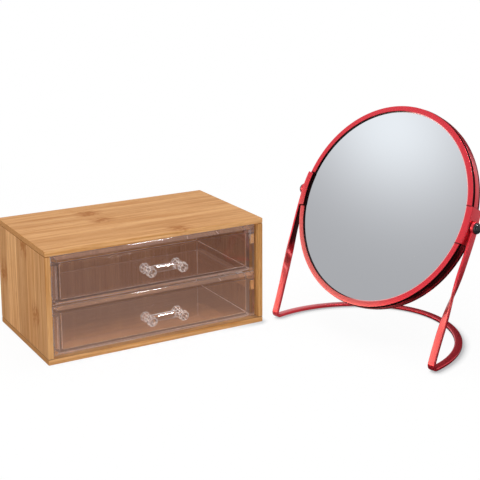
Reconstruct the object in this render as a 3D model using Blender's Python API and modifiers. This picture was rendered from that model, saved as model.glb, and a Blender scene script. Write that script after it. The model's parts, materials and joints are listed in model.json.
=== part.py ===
"""Vanity set: a bamboo cabinet with two clear drawers and a round mirror that turns in a strip stand.

Metres, +Z up. The origin is the centre of the cabinet's underside, +X runs along the cabinet's
width and its drawers open towards -Y. The mirror stands on the same surface, on the +X side,
turned towards the cabinet's front.
"""

import math

import bmesh
import bpy
from mathutils import Matrix, Vector

# Fit between pieces
JOINT_GAP = 0.0003
CUT_OVERRUN = 0.002
MERGE_DISTANCE = 0.00001

# Cabinet
CABINET_WIDTH = 0.225
CABINET_DEPTH = 0.1334
CABINET_HEIGHT = 0.1075
BOARD = 0.0052
BACK_BOARD = 0.0040
BACK_INSET = 0.0015
BOARD_EASE = 0.0006
RUNNER_THICKNESS = 0.0048
RUNNER_HEIGHT = 0.0098
RUNNER_SETBACK = 0.0070
RUNNER_EASE = 0.0005

# Drawers
DRAWER_COUNT = 2
DRAWER_NAMES = ("lower", "upper")
FRONT_SIDE_CLEARANCE = 0.0022
FRONT_BOTTOM_CLEARANCE = 0.0016
FRONT_BETWEEN_CLEARANCE = 0.0014
FRONT_TOP_CLEARANCE = 0.0013
FRONT_RECESS = 0.0017
FRONT_THICKNESS = 0.0040
FRONT_BEVEL_WIDTH = 0.0038
FRONT_BEVEL_DEPTH = 0.0022
TRAY_INSET = 0.0053
TRAY_WALL = 0.0022
TRAY_FLOOR = 0.0022
TRAY_LIFT = 0.0008
TRAY_RIM_DROP = 0.0077
TRAY_BACK_CLEARANCE = 0.0110
TRAY_CORNER = 0.0030
TRAY_POCKET_CORNER = 0.0024
FLANGE_THICKNESS = 0.0020
FLANGE_SIDE_CLEARANCE = 0.0024

# Drawer handles
HANDLE_SPACING = 0.0326
HANDLE_DROP = 0.0006
POST_LENGTH = 0.0200
BEAD_RADIUS = 0.0050
BEAD_FACE_RADIUS = 0.0041
BEAD_LENGTH = 0.0060
BEAD_BEVEL = 0.0013
NECK_RADIUS = 0.0034
NECK_SLOPE = 0.0012
POST_SIDES = 8
GRIP_RADIUS = 0.0026
GRIP_FLARE_RADIUS = 0.0033
GRIP_FLARE_LENGTH = 0.0045
GRIP_SINK = 0.0016
GRIP_SIDES = 20

# Mirror disc
MIRROR_X = 0.2019
MIRROR_Y = -0.1464
MIRROR_YAW = math.radians(-75.8)
MIRROR_TILT = math.radians(26.5)
PIVOT_HEIGHT = 0.1242
PIVOT_DROP = 0.0015
RIM_RADIUS = 0.1004
RIM_DEPTH = 0.0132
RIM_WALL = 0.0015
RIM_LIP = 0.0011
RIM_LIP_WIDTH = 0.0065
RIM_EDGE = 0.0004
RIM_GROOVE_SETBACK = 0.0006
RIM_GROOVE_WIDTH = 0.0010
RIM_GROOVE_DEPTH = 0.0006
HOOP_STEPS = 60

# Clips that join the two hoops at the pivots
CLIP_THICKNESS = 0.0010
CLIP_LIP_WIDTH = 0.0057
CLIP_HALF_ANGLE = math.radians(10.0)
CLIP_EDGE = 0.0004
CLIP_GROOVE_WIDTH = 0.0006
CLIP_GROOVE_DEPTH = 0.0004
CLIP_STEPS = 10

# Mirror glass and what lies between the two glasses
GLASS_RADIUS = 0.0952
GLASS_THICKNESS = 0.0020
GLASS_BEVEL = 0.0004
MAGNIFIER_THICKNESS = 0.0018
MAGNIFIER_SAG = 0.0032
MAGNIFIER_RINGS = 6
CARD_THICKNESS = 0.0010
SPACER_WIDTH = 0.0045
DISC_STEPS = 64

# Pivot hardware
SCREW_RADIUS = 0.0020
SCREW_CLEARANCE = 0.0003
HEAD_RADIUS = 0.0052
HEAD_HEIGHT = 0.0040
HEAD_RINGS = 5
WASHER_RADIUS = 0.0043
WASHER_THICKNESS = 0.0006
NUT_ACROSS_FLATS = 0.0070
NUT_THICKNESS = 0.0026
NUT_SIDES = 6
SCREW_STEPS = 24

# Stand
STRIP_WIDTH = 0.0076
STRIP_THICKNESS = 0.0029
STRIP_CORNER = 0.0007
EYELET_RADIUS = 0.0062
EYELET_THICKNESS = 0.0029
EYELET_STEPS = 40
FOOT_HALF_SPACING = 0.0978
FOOT_SETFORWARD = 0.0520
FOOT_BEND_RADIUS = 0.0040
LOOP_CENTRE_SETFORWARD = 0.0443
LOOP_REACH = 0.1078
LOOP_CORNER_SHARE = 0.69834
UPRIGHT_BOW = 0.0012
TWIST_START_SHARE = 0.21
TWIST_END_SHARE = 0.69
UPRIGHT_STEPS = 30
FOOT_STEPS = 9
LOOP_STEPS = 26

# Linear colour, roughness, metallic and transmission of each material
MATERIALS = {
    "bamboo": ((0.58, 0.35, 0.16, 1.0), 0.45, 0.0, 0.0),
    "clear_acrylic": ((0.82, 0.76, 0.76, 1.0), 0.05, 0.0, 0.9),
    "red_lacquer": ((0.62, 0.03, 0.05, 1.0), 0.22, 0.0, 0.0),
    "silvered_glass": ((0.86, 0.88, 0.90, 1.0), 0.02, 1.0, 0.0),
    "black_chrome": ((0.03, 0.03, 0.03, 1.0), 0.15, 1.0, 0.0),
    "zinc_steel": ((0.55, 0.56, 0.57, 1.0), 0.35, 1.0, 0.0),
    "grey_card": ((0.30, 0.29, 0.27, 1.0), 0.85, 0.0, 0.0),
}


def clear_scene():
    """Remove every object and leave an empty scene."""
    for item in list(bpy.data.objects):
        bpy.data.objects.remove(item, do_unlink=True)


def new_collection(name):
    """Add a collection to the scene."""
    made = bpy.data.collections.new(name)
    bpy.context.scene.collection.children.link(made)
    return made


def material(name):
    """Return the named material, made on first use from MATERIALS."""
    found = bpy.data.materials.get(name)
    if found is not None:
        return found
    colour, roughness, metallic, transmission = MATERIALS[name]
    made = bpy.data.materials.new(name)
    made.use_nodes = True
    shader = made.node_tree.nodes["Principled BSDF"]
    shader.inputs["Base Color"].default_value = colour
    shader.inputs["Roughness"].default_value = roughness
    shader.inputs["Metallic"].default_value = metallic
    shader.inputs["Transmission Weight"].default_value = transmission
    made.diffuse_color = colour
    return made


def new_object(name, mesh, finish, parent=None):
    """Put a mesh in the object's collection under its node's name."""
    item = bpy.data.objects.new(name, mesh)
    bpy.data.collections["vanity_set"].objects.link(item)
    item.data.materials.append(material(finish))
    item.parent = parent
    return item


def new_cutter(name, mesh, parent=None):
    """Put a mesh among the cutters, which show as wires and don't render."""
    item = bpy.data.objects.new(name, mesh)
    bpy.data.collections["cutters"].objects.link(item)
    item.parent = parent
    item.hide_render = True
    item.display_type = "WIRE"
    return item


def new_empty(name, location, parent=None):
    """Add an empty that carries a moving group of pieces."""
    item = bpy.data.objects.new(name, None)
    bpy.data.collections["vanity_set"].objects.link(item)
    item.location = location
    item.parent = parent
    return item


def smooth(mesh, angle=math.radians(35)):
    """Shade a mesh smooth with its sharp edges kept."""
    mesh.shade_smooth()
    mesh.set_sharp_from_angle(angle=angle)


def box_mesh(name, size):
    """A box of the given size about its own centre."""
    mesh = bpy.data.meshes.new(name)
    shape = bmesh.new()
    bmesh.ops.create_cube(shape, size=1)
    bmesh.ops.scale(shape, vec=size, verts=shape.verts)
    shape.to_mesh(mesh)
    shape.free()
    return mesh


def turned_mesh(name, outline, closed=False):
    """A turned piece's profile, as edges in the XZ plane that run down the outer side."""
    mesh = bpy.data.meshes.new(name)
    points = [(radius, 0, height) for radius, height in outline]
    edges = [(index, index + 1) for index in range(len(points) - 1)]
    if closed:
        edges.append((len(points) - 1, 0))
    mesh.from_pydata(points, edges, [])
    return mesh


def add_screw(item, steps):
    """Turn an object's profile round its own Z axis."""
    turn = item.modifiers.new("turned", "SCREW")
    turn.steps = steps
    turn.render_steps = steps
    turn.use_merge_vertices = True
    turn.merge_threshold = MERGE_DISTANCE
    turn.use_smooth_shade = False


def add_ease(item, width, segments=2):
    """Round an object's sharp edges."""
    ease = item.modifiers.new("eased edges", "BEVEL")
    ease.width = width
    ease.segments = segments
    ease.limit_method = "ANGLE"


def add_boolean(item, other, operation):
    """Cut an object with another or join another to it."""
    step = item.modifiers.new(operation.lower(), "BOOLEAN")
    step.object = other
    step.operation = operation
    step.solver = "EXACT"


def evaluated_mesh(item, name):
    """An object's mesh as its modifiers or its curve leave it, with loose caps welded."""
    graph = bpy.context.evaluated_depsgraph_get()
    mesh = bpy.data.meshes.new_from_object(item.evaluated_get(graph))
    mesh.name = name
    shape = bmesh.new()
    shape.from_mesh(mesh)
    bmesh.ops.remove_doubles(shape, verts=shape.verts, dist=MERGE_DISTANCE)
    bmesh.ops.recalc_face_normals(shape, faces=shape.faces)
    shape.to_mesh(mesh)
    shape.free()
    return mesh


def opening_width():
    """Clear width between the cabinet's side boards."""
    return CABINET_WIDTH - 2 * BOARD


def opening_height():
    """Clear height between the cabinet's top and bottom boards."""
    return CABINET_HEIGHT - 2 * BOARD


def back_board_front():
    """Y of the back board's inner face."""
    return CABINET_DEPTH / 2 - BACK_INSET - BACK_BOARD


def front_width():
    """Width of a drawer's front."""
    return opening_width() - 2 * FRONT_SIDE_CLEARANCE


def front_height():
    """Height of a drawer's front, which shares the opening evenly."""
    spare = FRONT_BOTTOM_CLEARANCE + FRONT_TOP_CLEARANCE
    spare += (DRAWER_COUNT - 1) * FRONT_BETWEEN_CLEARANCE
    return (opening_height() - spare) / DRAWER_COUNT


def front_face():
    """Y of the drawers' front faces with the drawers shut."""
    return -CABINET_DEPTH / 2 + FRONT_RECESS


def drawer_bottom(level):
    """Height of a drawer front's lower edge."""
    step = front_height() + FRONT_BETWEEN_CLEARANCE
    return BOARD + FRONT_BOTTOM_CLEARANCE + level * step


def tray_rim(level):
    """Height of a tray's rim, where its flanges lie."""
    return drawer_bottom(level) + front_height() - TRAY_RIM_DROP


def runner_top(level):
    """Height of the runners that a drawer's flanges slide on."""
    return tray_rim(level) - FLANGE_THICKNESS - JOINT_GAP


def tray_half_width():
    """Half the width of a tray over its side walls."""
    return front_width() / 2 - TRAY_INSET


def tray_front():
    """Y of a tray's front end, behind its drawer front."""
    return front_face() + FRONT_THICKNESS + JOINT_GAP


def tray_back():
    """Y of a tray's back wall."""
    return back_board_front() - TRAY_BACK_CLEARANCE


def build_flat_boards():
    """Top and bottom boards, which run over the sides' ends."""
    size = (CABINET_WIDTH, CABINET_DEPTH, BOARD)
    heights = {
        "cabinet_bottom_board": BOARD / 2,
        "cabinet_top_board": CABINET_HEIGHT - BOARD / 2,
    }
    for name, height in heights.items():
        board = new_object(name, box_mesh(name, size), "bamboo")
        board.location = (0, 0, height)
        add_ease(board, BOARD_EASE)


def build_side_boards():
    """Side boards, which stand between the top and the bottom."""
    size = (BOARD, CABINET_DEPTH, opening_height() - 2 * JOINT_GAP)
    for name, side in (("cabinet_left_side", -1), ("cabinet_right_side", 1)):
        board = new_object(name, box_mesh(name, size), "bamboo")
        board.location = (side * (CABINET_WIDTH - BOARD) / 2, 0, CABINET_HEIGHT / 2)
        add_ease(board, BOARD_EASE)


def build_back_panel():
    """Back panel, set in between the four boards."""
    name = "cabinet_back_panel"
    size = (opening_width() - 2 * JOINT_GAP, BACK_BOARD, opening_height() - 2 * JOINT_GAP)
    panel = new_object(name, box_mesh(name, size), "bamboo")
    panel.location = (0, back_board_front() + BACK_BOARD / 2, CABINET_HEIGHT / 2)
    add_ease(panel, BOARD_EASE)


def build_runners():
    """Four runners on the side boards, which carry the drawers by their flanges."""
    front = -CABINET_DEPTH / 2 + RUNNER_SETBACK
    back = back_board_front() - JOINT_GAP
    size = (RUNNER_THICKNESS, back - front, RUNNER_HEIGHT)
    reach = opening_width() / 2 - JOINT_GAP - RUNNER_THICKNESS / 2
    for level, drawer in enumerate(DRAWER_NAMES):
        for hand, side in (("left", -1), ("right", 1)):
            name = f"runner_{drawer}_{hand}"
            runner = new_object(name, box_mesh(name, size), "bamboo")
            height = runner_top(level) - RUNNER_HEIGHT / 2
            runner.location = (side * reach, (front + back) / 2, height)
            add_ease(runner, RUNNER_EASE)


def front_mesh(name):
    """A drawer front: a plate whose outer face is raised inside a mitred bevel."""
    plate = FRONT_THICKNESS - FRONT_BEVEL_DEPTH
    mesh = bpy.data.meshes.new(name)
    shape = bmesh.new()
    bmesh.ops.create_cube(shape, size=1)
    bmesh.ops.scale(shape, vec=(front_width(), plate, front_height()), verts=shape.verts)
    bmesh.ops.translate(shape, vec=(0, -plate / 2, 0), verts=shape.verts)
    shape.normal_update()
    outer = [face for face in shape.faces if face.normal.y < 0 and not face.normal.x]
    outer = [face for face in outer if face.calc_center_median().y < -plate / 2]
    bmesh.ops.inset_region(
        shape,
        faces=outer,
        thickness=FRONT_BEVEL_WIDTH,
        depth=FRONT_BEVEL_DEPTH,
        use_even_offset=True,
    )
    shape.to_mesh(mesh)
    shape.free()
    return mesh


def tray_mesh(name):
    """A tray's outer block about its rim's front middle, with a flange along each side."""
    length = tray_back() - tray_front()
    height = front_height() - TRAY_RIM_DROP - TRAY_LIFT
    half = tray_half_width()
    flange_reach = opening_width() / 2 - FLANGE_SIDE_CLEARANCE
    mesh = bpy.data.meshes.new(name)
    shape = bmesh.new()
    bmesh.ops.create_cube(shape, size=1)
    bmesh.ops.scale(shape, vec=(2 * half, length, height), verts=shape.verts)
    bmesh.ops.translate(shape, vec=(0, length / 2, -height / 2), verts=shape.verts)
    bmesh.ops.bisect_plane(
        shape,
        geom=list(shape.verts) + list(shape.edges) + list(shape.faces),
        plane_co=(0, 0, -FLANGE_THICKNESS),
        plane_no=(0, 0, 1),
    )
    shape.normal_update()
    for side in (-1, 1):
        strip = [
            face for face in shape.faces
            if face.normal.x * side > 0.5 and face.calc_center_median().z > -FLANGE_THICKNESS
        ]
        moved = bmesh.ops.extrude_discrete_faces(shape, faces=strip)["faces"]
        corners = {corner for face in moved for corner in face.verts}
        bmesh.ops.translate(shape, vec=(side * (flange_reach - half), 0, 0), verts=list(corners))
    bmesh.ops.remove_doubles(shape, verts=shape.verts, dist=MERGE_DISTANCE)
    lower_edges = [
        edge for edge in shape.edges
        if all(corner.co.z < -height + MERGE_DISTANCE for corner in edge.verts)
    ]
    back_edges = [
        edge for edge in shape.edges
        if all(corner.co.y > length - MERGE_DISTANCE for corner in edge.verts)
        and all(corner.co.z < -FLANGE_THICKNESS + MERGE_DISTANCE for corner in edge.verts)
        and abs(edge.verts[0].co.x - edge.verts[1].co.x) < MERGE_DISTANCE
    ]
    lower_edges = [edge for edge in lower_edges if max(c.co.y for c in edge.verts) > 0]
    bmesh.ops.bevel(
        shape,
        geom=lower_edges + back_edges,
        offset=TRAY_CORNER,
        segments=3,
        affect="EDGES",
        profile=0.5,
    )
    shape.to_mesh(mesh)
    shape.free()
    return mesh


def pocket_mesh(name):
    """The hollow of a tray about its rim's front middle, open past the rim."""
    length = tray_back() - tray_front() - 2 * TRAY_WALL
    depth = front_height() - TRAY_RIM_DROP - TRAY_LIFT - TRAY_FLOOR
    width = 2 * (tray_half_width() - TRAY_WALL)
    tall = depth + CUT_OVERRUN
    mesh = bpy.data.meshes.new(name)
    shape = bmesh.new()
    bmesh.ops.create_cube(shape, size=1)
    bmesh.ops.scale(shape, vec=(width, length, tall), verts=shape.verts)
    lift = (0, TRAY_WALL + length / 2, CUT_OVERRUN - tall / 2)
    bmesh.ops.translate(shape, vec=lift, verts=shape.verts)
    rounded = [edge for edge in shape.edges if min(c.co.z for c in edge.verts) < 0]
    bmesh.ops.bevel(
        shape,
        geom=rounded,
        offset=TRAY_POCKET_CORNER,
        segments=3,
        affect="EDGES",
        profile=0.5,
    )
    shape.to_mesh(mesh)
    shape.free()
    return mesh


def post_outline():
    """A handle post from its base at zero height: a bead, a neck and a bead."""
    front_bead = POST_LENGTH - BEAD_LENGTH
    return [
        (0, POST_LENGTH),
        (BEAD_FACE_RADIUS, POST_LENGTH),
        (BEAD_RADIUS, POST_LENGTH - BEAD_BEVEL),
        (BEAD_RADIUS, front_bead + BEAD_BEVEL),
        (BEAD_FACE_RADIUS, front_bead),
        (NECK_RADIUS, front_bead - NECK_SLOPE),
        (NECK_RADIUS, BEAD_LENGTH + NECK_SLOPE),
        (BEAD_FACE_RADIUS, BEAD_LENGTH),
        (BEAD_RADIUS, BEAD_LENGTH - BEAD_BEVEL),
        (BEAD_RADIUS, BEAD_BEVEL),
        (BEAD_FACE_RADIUS, 0),
        (0, 0),
    ]


def grip_outline():
    """The handle's cross bar, flared where it meets the posts."""
    half = HANDLE_SPACING / 2 - NECK_RADIUS + GRIP_SINK
    inner = half - GRIP_SINK - GRIP_FLARE_LENGTH
    return [
        (0, half),
        (GRIP_FLARE_RADIUS, half),
        (GRIP_FLARE_RADIUS, half - GRIP_SINK),
        (GRIP_RADIUS, inner),
        (GRIP_RADIUS, -inner),
        (GRIP_FLARE_RADIUS, GRIP_SINK - half),
        (GRIP_FLARE_RADIUS, -half),
        (0, -half),
    ]


def build_handle(name, carrier, height):
    """One clear handle: two faceted posts and a cross bar joined as one piece."""
    base = front_face() - JOINT_GAP
    towards_user = math.radians(90)
    parts = []
    for hand, side in (("left", -1), ("right", 1)):
        part = new_cutter(f"{name}_{hand}_post", turned_mesh(name, post_outline()), carrier)
        part.location = (side * HANDLE_SPACING / 2, base, height)
        turn = Matrix.Rotation(towards_user, 4, "X")
        facet = Matrix.Rotation(math.pi / POST_SIDES, 4, "Z")
        part.rotation_euler = (turn @ facet).to_euler()
        add_screw(part, POST_SIDES)
        parts.append(part)
    grip = new_object(name, turned_mesh(name, grip_outline()), "clear_acrylic", carrier)
    grip.location = (0, base - POST_LENGTH / 2, height)
    grip.rotation_euler = (0, math.radians(90), 0)
    add_screw(grip, GRIP_SIDES)
    for part in parts:
        add_boolean(grip, part, "UNION")


def build_drawer(level):
    """One drawer: its tray, its front and its handle, carried by an empty on its slide."""
    drawer = DRAWER_NAMES[level]
    bottom = drawer_bottom(level)
    carrier = new_empty(f"{drawer}_drawer_slide", (0, 0, 0))
    front_name = f"{drawer}_drawer_front"
    front = new_object(front_name, front_mesh(front_name), "clear_acrylic", carrier)
    back_face = front_face() + FRONT_THICKNESS
    front.location = (0, back_face, bottom + front_height() / 2)
    tray_name = f"{drawer}_drawer_tray"
    tray = new_object(tray_name, tray_mesh(tray_name), "clear_acrylic", carrier)
    tray.location = (0, tray_front(), tray_rim(level))
    pocket = new_cutter(f"{drawer}_tray_pocket", pocket_mesh(f"{drawer}_tray_pocket"), carrier)
    pocket.location = tray.location
    add_boolean(tray, pocket, "DIFFERENCE")
    middle = bottom + front_height() / 2 - HANDLE_DROP
    build_handle(f"{drawer}_drawer_handle", carrier, middle)


def rim_outline():
    """The rim's section as (radius, distance to the front): a channel open to the centre."""
    half = RIM_DEPTH / 2
    lip = RIM_RADIUS - RIM_LIP_WIDTH
    inner = RIM_RADIUS - RIM_WALL
    groove_start = half - RIM_GROOVE_SETBACK
    groove_end = groove_start - RIM_GROOVE_WIDTH
    groove_floor = RIM_RADIUS - RIM_GROOVE_DEPTH
    slope = RIM_GROOVE_WIDTH / 4
    front = [
        (inner, half - RIM_LIP),
        (lip, half - RIM_LIP),
        (lip, half),
        (RIM_RADIUS - RIM_EDGE, half),
        (RIM_RADIUS, half - RIM_EDGE),
        (RIM_RADIUS, groove_start),
        (groove_floor, groove_start - slope),
        (groove_floor, groove_end + slope),
        (RIM_RADIUS, groove_end),
    ]
    return front + [(radius, -offset) for radius, offset in reversed(front)]


def clip_outline():
    """A clip's section: it wraps the rim from lip to lip."""
    half = RIM_DEPTH / 2 + JOINT_GAP
    outer_half = half + CLIP_THICKNESS
    inner = RIM_RADIUS + JOINT_GAP
    outer = inner + CLIP_THICKNESS
    lip = RIM_RADIUS - CLIP_LIP_WIDTH
    groove = outer_half - CLIP_EDGE - CLIP_GROOVE_WIDTH / 2
    front = [
        (inner, half),
        (lip, half),
        (lip, outer_half),
        (outer - CLIP_EDGE, outer_half),
        (outer, outer_half - CLIP_EDGE),
        (outer - CLIP_GROOVE_DEPTH, groove - CLIP_GROOVE_WIDTH / 2),
        (outer, groove - CLIP_GROOVE_WIDTH),
    ]
    return front + [(radius, -offset) for radius, offset in reversed(front)]


def arc_mesh(name, outline, start, sweep, steps):
    """A section swept round the disc's axis, from an angle above +X, closed at both ends."""
    mesh = bpy.data.meshes.new(name)
    shape = bmesh.new()
    towards = Vector((math.cos(start), 0, math.sin(start)))
    corners = [shape.verts.new(towards * r - Vector((0, offset, 0))) for r, offset in outline]
    section = shape.faces.new(corners)
    bmesh.ops.spin(
        shape,
        geom=list(section.verts) + list(section.edges) + [section],
        cent=(0, 0, 0),
        axis=(0, -1, 0),
        angle=sweep,
        steps=steps,
    )
    bmesh.ops.recalc_face_normals(shape, faces=shape.faces)
    shape.to_mesh(mesh)
    shape.free()
    smooth(mesh)
    return mesh


def drop_angle():
    """Angle below the disc's own middle at which the pivots stand on the rim."""
    return math.asin(PIVOT_DROP / RIM_RADIUS)


def build_hoops(disc):
    """Upper and lower half of the rim, which end at the pivots and leave room for a screw."""
    room = (SCREW_RADIUS + SCREW_CLEARANCE) / RIM_RADIUS
    half_turn = math.pi - 2 * room
    hoops = (
        ("rim_hoop_upper", room - drop_angle(), half_turn + 2 * drop_angle()),
        ("rim_hoop_lower", math.pi + room + drop_angle(), half_turn - 2 * drop_angle()),
    )
    for name, start, sweep in hoops:
        mesh = arc_mesh(name, rim_outline(), start, sweep, HOOP_STEPS)
        hoop = new_object(name, mesh, "red_lacquer", disc)
        hoop.location = (0, 0, PIVOT_DROP)


def hole_cutter(name, reach, carrier):
    """A drill along the pivot axis, through both sides of the disc or the stand."""
    mesh = bpy.data.meshes.new(name)
    shape = bmesh.new()
    bore = SCREW_RADIUS + SCREW_CLEARANCE
    bmesh.ops.create_cone(
        shape,
        cap_ends=True,
        segments=SCREW_STEPS,
        radius1=bore,
        radius2=bore,
        depth=2 * reach,
    )
    across = Matrix.Rotation(math.radians(90), 4, "Y")
    bmesh.ops.transform(shape, matrix=across, verts=shape.verts)
    shape.to_mesh(mesh)
    shape.free()
    return new_cutter(name, mesh, carrier)


def build_clips(disc):
    """Two clips that hold the hoops together and take the pivot screws."""
    reach = RIM_RADIUS + CLIP_THICKNESS + CUT_OVERRUN
    drill = hole_cutter("clip_drill", reach, disc)
    middles = (("rim_clip_right", -drop_angle()), ("rim_clip_left", math.pi + drop_angle()))
    for name, middle in middles:
        start = middle - CLIP_HALF_ANGLE
        mesh = arc_mesh(name, clip_outline(), start, 2 * CLIP_HALF_ANGLE, CLIP_STEPS)
        clip = new_object(name, mesh, "red_lacquer", disc)
        clip.location = (0, 0, PIVOT_DROP)
        add_boolean(clip, drill, "DIFFERENCE")


def turned_disc(name, outline, finish, disc, closed=False):
    """A piece turned about the disc's own axis, its profile's height towards the front."""
    item = new_object(name, turned_mesh(name, outline, closed), finish, disc)
    item.location = (0, 0, PIVOT_DROP)
    item.rotation_euler = (math.radians(90), 0, 0)
    add_screw(item, DISC_STEPS)
    return item


def build_glasses(disc):
    """Flat glass in front, magnifying glass behind, with a card and a spacer ring between."""
    lip_inside = RIM_DEPTH / 2 - RIM_LIP - JOINT_GAP
    front_back = lip_inside - GLASS_THICKNESS
    flat = [
        (0, lip_inside),
        (GLASS_RADIUS - GLASS_BEVEL, lip_inside),
        (GLASS_RADIUS, lip_inside - GLASS_BEVEL),
        (GLASS_RADIUS, front_back),
        (0, front_back),
    ]
    turned_disc("mirror_glass_front", flat, "silvered_glass", disc)
    card_top = front_back - JOINT_GAP
    card_bottom = card_top - CARD_THICKNESS
    card = [(0, card_top), (GLASS_RADIUS, card_top), (GLASS_RADIUS, card_bottom), (0, card_bottom)]
    turned_disc("mirror_backing_card", card, "grey_card", disc)
    rear_edge = -lip_inside
    shares = [ring / MAGNIFIER_RINGS for ring in range(MAGNIFIER_RINGS + 1)]
    dish = [(share * GLASS_RADIUS, MAGNIFIER_SAG * (1 - share ** 2)) for share in shares]
    inner_face = [(radius, rear_edge + MAGNIFIER_THICKNESS + rise) for radius, rise in dish]
    outer_face = [(radius, rear_edge + rise) for radius, rise in reversed(dish)]
    turned_disc("mirror_glass_magnifying", inner_face + outer_face, "silvered_glass", disc)
    spacer_top = card_bottom - JOINT_GAP
    spacer_bottom = rear_edge + MAGNIFIER_THICKNESS + JOINT_GAP
    inner = GLASS_RADIUS - SPACER_WIDTH
    dish_rise = MAGNIFIER_SAG * (1 - (inner / GLASS_RADIUS) ** 2)
    spacer = [
        (inner, spacer_top),
        (GLASS_RADIUS, spacer_top),
        (GLASS_RADIUS, spacer_bottom),
        (inner, spacer_bottom + dish_rise),
    ]
    turned_disc("mirror_spacer_ring", spacer, "grey_card", disc, closed=True)


def pivot_distances():
    """Places along the pivot axis, from the disc's centre outwards."""
    clip_face = RIM_RADIUS + JOINT_GAP + CLIP_THICKNESS
    washer_in = clip_face + JOINT_GAP
    washer_out = washer_in + WASHER_THICKNESS
    eyelet_in = washer_out + JOINT_GAP
    eyelet_out = eyelet_in + EYELET_THICKNESS
    head_in = eyelet_out + JOINT_GAP
    nut_out = RIM_RADIUS - RIM_WALL - JOINT_GAP
    return {
        "washer_in": washer_in,
        "washer_out": washer_out,
        "eyelet_in": eyelet_in,
        "eyelet_middle": (eyelet_in + eyelet_out) / 2,
        "head_in": head_in,
        "nut_out": nut_out,
        "nut_in": nut_out - NUT_THICKNESS,
    }


def build_pivot_hardware(disc):
    """A domed screw, a washer and a nut on each side; all turn with the disc."""
    places = pivot_distances()
    bore = SCREW_RADIUS + SCREW_CLEARANCE
    head_in = places["head_in"]
    angles = [math.radians(90) * ring / HEAD_RINGS for ring in range(HEAD_RINGS + 1)]
    dome = [(HEAD_RADIUS * math.sin(a), head_in + HEAD_HEIGHT * math.cos(a)) for a in angles]
    shank = [(SCREW_RADIUS, head_in), (SCREW_RADIUS, places["nut_in"]), (0, places["nut_in"])]
    washer = [
        (bore, places["washer_out"]),
        (WASHER_RADIUS, places["washer_out"]),
        (WASHER_RADIUS, places["washer_in"]),
        (bore, places["washer_in"]),
    ]
    corner = NUT_ACROSS_FLATS / 2 / math.cos(math.pi / NUT_SIDES)
    for hand, side in (("left", -1), ("right", 1)):
        outwards = (0, side * math.radians(90), 0)
        name = f"pivot_screw_{hand}"
        screw = new_object(name, turned_mesh(name, dome + shank), "black_chrome", disc)
        screw.rotation_euler = outwards
        add_screw(screw, SCREW_STEPS)
        name = f"pivot_washer_{hand}"
        ring = new_object(name, turned_mesh(name, washer, closed=True), "black_chrome", disc)
        ring.rotation_euler = outwards
        add_screw(ring, SCREW_STEPS)
        name = f"pivot_nut_{hand}"
        mesh = bpy.data.meshes.new(name)
        shape = bmesh.new()
        bmesh.ops.create_cone(
            shape,
            cap_ends=True,
            segments=NUT_SIDES,
            radius1=corner,
            radius2=corner,
            depth=NUT_THICKNESS,
        )
        along = Matrix.Rotation(math.radians(90), 4, "Y")
        bmesh.ops.transform(shape, matrix=along, verts=shape.verts)
        shape.to_mesh(mesh)
        shape.free()
        nut = new_object(name, mesh, "zinc_steel", disc)
        nut.location = (side * (places["nut_out"] - NUT_THICKNESS / 2), 0, 0)
        drill = hole_cutter(f"{name}_drill", NUT_THICKNESS, disc)
        drill.location = nut.location
        add_boolean(nut, drill, "DIFFERENCE")


def ease_in_out(share):
    """A smooth rise from 0 to 1 with level ends."""
    share = min(max(share, 0), 1)
    return share * share * (3 - 2 * share)


def loop_power():
    """The loop's exponent, which puts its point at 45 degrees at the corner share of its size."""
    return math.log(LOOP_CORNER_SHARE) / math.log(math.cos(math.radians(45)))


def strip_points():
    """Middle line and twist of half the strip, from the loop's middle up to the right eyelet."""
    power = loop_power()
    low = STRIP_THICKNESS / 2
    top_x = pivot_distances()["eyelet_middle"]
    lean = math.atan2(FOOT_SETFORWARD, PIVOT_HEIGHT - low)
    turn = math.radians(90) + lean
    bend_start = -FOOT_SETFORWARD + FOOT_BEND_RADIUS * math.tan(turn / 2)
    points = [(-STRIP_WIDTH, LOOP_REACH - LOOP_CENTRE_SETFORWARD, low, 0)]
    for step in range(LOOP_STEPS + 1):
        angle = math.radians(90) * step / LOOP_STEPS
        x = FOOT_HALF_SPACING * math.sin(angle) ** power
        y = LOOP_REACH * max(math.cos(angle), 0) ** power - LOOP_CENTRE_SETFORWARD
        points.append((x, y, low, 0))
    for step in range(FOOT_STEPS + 1):
        angle = turn * step / FOOT_STEPS
        y = bend_start - FOOT_BEND_RADIUS * math.sin(angle)
        z = low + FOOT_BEND_RADIUS * (1 - math.cos(angle))
        points.append((FOOT_HALF_SPACING, y, z, 0))
    foot_y, foot_z = points[-1][1], points[-1][2]
    for step in range(1, UPRIGHT_STEPS + 1):
        share = step / UPRIGHT_STEPS
        x = FOOT_HALF_SPACING + (top_x - FOOT_HALF_SPACING) * ease_in_out(share)
        y = foot_y * (1 - share) - UPRIGHT_BOW * math.sin(math.pi * share)
        z = foot_z + (PIVOT_HEIGHT - foot_z) * share
        twist = (share - TWIST_START_SHARE) / (TWIST_END_SHARE - TWIST_START_SHARE)
        points.append((x, y, z, -math.radians(90) * ease_in_out(twist)))
    return points


def strip_section():
    """The strip's rounded section, as a closed curve that the strip's curve is bevelled with."""
    data = bpy.data.curves.new("strip_section", "CURVE")
    data.dimensions = "2D"
    wide = STRIP_WIDTH / 2
    thin = STRIP_THICKNESS / 2
    cut = STRIP_CORNER
    corners = [
        (wide, thin - cut),
        (wide - cut, thin),
        (cut - wide, thin),
        (-wide, thin - cut),
        (-wide, cut - thin),
        (cut - wide, -thin),
        (wide - cut, -thin),
        (wide, cut - thin),
    ]
    line = data.splines.new("POLY")
    line.points.add(len(corners) - 1)
    for point, (x, y) in zip(line.points, corners):
        point.co = (x, y, 0, 1)
    line.use_cyclic_u = True
    return new_cutter("strip_section", data)


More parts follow.
